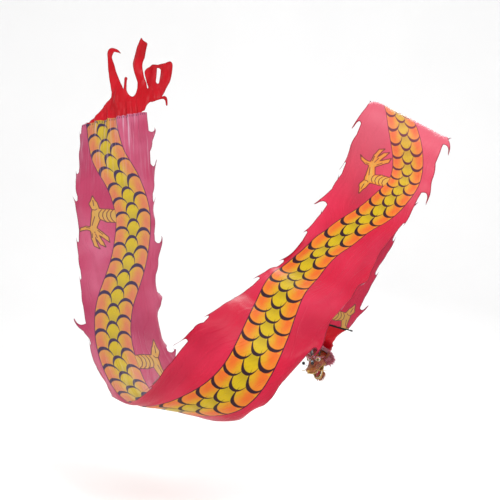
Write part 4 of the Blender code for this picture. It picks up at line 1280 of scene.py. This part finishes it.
def build_grip():
    """The foam sleeve: turned with soft ends, finger dents and a closed-cell skin."""
    body = NODES["grip_foam"]
    axis = unit(np.array((0.224, 0.690, -0.636)))
    reach = np.array([v.co @ Vector(axis) for v in body.data.vertices])
    low, high = float(reach.min()), float(reach.max())
    side = unit(np.cross(axis, np.array([0.0, 0.0, 1.0])))
    up = np.cross(axis, side)
    rows, seg = 90, 64
    points = []
    for i in range(rows):
        t = i / (rows - 1)
        at = low + (high - low) * t
        soft = min(at - low, high - at)
        r = 0.0150 - 0.0022 * max(0.0, 1 - soft / 0.006) ** 2
        for j in range(seg):
            turn = 2 * math.pi * j / seg
            dent = 0.00035 * math.sin(52 * t) * math.cos(2 * turn) + 0.00030 * chance(i * 64 + j, 19)
            points.append(axis * at + (r - dent - 0.0002) * (side * math.cos(turn) + up * math.sin(turn)))
    faces = [face[::-1] for face in loft(rows, seg)]
    inner = len(points)
    for at in (low, high):
        for j in range(seg):
            turn = 2 * math.pi * j / seg
            points.append(axis * at + 0.0107 * (side * math.cos(turn) + up * math.sin(turn)))
    last = (rows - 1) * seg
    for j in range(seg):
        m = (j + 1) % seg
        faces.append((j, m, inner + m, inner + j))
        faces.append((last + m, last + j, inner + seg + j, inner + seg + m))
    foam = moulded("grip_foam_skin", srgb(26, 26, 28), srgb(58, 58, 62), 0.85, 1400.0)
    grip = mesh_piece("grip_sleeve", points, faces, [foam])
    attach(grip, "rod_handle")
    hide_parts("grip_foam")


build_hard_parts()


# ---- camera, stage, light -----------------------------------------------------------------
def add_camera():
    data = bpy.data.cameras.new("camera")
    data.lens = 60.0
    data.sensor_width = 36.0
    camera = placed("camera", data)
    camera.location = (-0.33, -6.6, 0.05)
    camera.rotation_euler = (math.radians(91.86), 0, 0)
    bpy.context.scene.camera = camera


def add_stage():
    """A pale floor that curves up into a backdrop."""
    mesh = bpy.data.meshes.new("floor")
    profile = [(-14.0, -1.5)] + [(7.0 + 4 * math.sin(a), -1.5 + 4 - 4 * math.cos(a))
                                 for a in np.linspace(0, math.pi / 2, 24)] + [(11.0, 12.0)]
    verts = [(x, y, z) for x in (-22.0, 22.0) for y, z in profile]
    n = len(profile)
    mesh.from_pydata(verts, [], [(i, i + 1, n + i + 1, n + i) for i in range(n - 1)])
    mesh.polygons.foreach_set("use_smooth", np.ones(n - 1, bool))
    floor = placed("floor", mesh)
    mat, tree, shader = new_material("pale_floor", Roughness=0.9)
    tone = noise_of(tree, object_vector(tree), 0.6, 2.0)
    colour = mix(tree, tone, srgb(244, 244, 244, 1.0), srgb(250, 250, 250, 1.0))
    feed(shader, Base_Color=colour)
    mesh.materials.append(mat)


def add_lights():
    world = bpy.data.worlds.new("studio")
    world.use_nodes = True
    world.node_tree.nodes["Background"].inputs[0].default_value = (1.0, 1.0, 1.0, 1.0)
    world.node_tree.nodes["Background"].inputs[1].default_value = 0.85
    bpy.context.scene.world = world
    lamps = [("key", (3.5, -4.5, 6.0), 5.0, 420), ("fill", (-5.0, -5.0, 2.0), 5.0, 160),
             ("rim", (2.0, 6.0, 5.0), 4.0, 240)]
    for name, at, size, power in lamps:
        data = bpy.data.lights.new(name, "AREA")
        data.shape = "DISK"
        data.size = size
        data.energy = power
        lamp = placed(name, data)
        lamp.location = at
        lamp.rotation_euler = (Vector((-0.3, -0.2, 0.0)) - Vector(at)).to_track_quat("-Z", "Y").to_euler()


add_camera()
add_stage()
add_lights()
bpy.context.scene.view_settings.view_transform = "Standard"
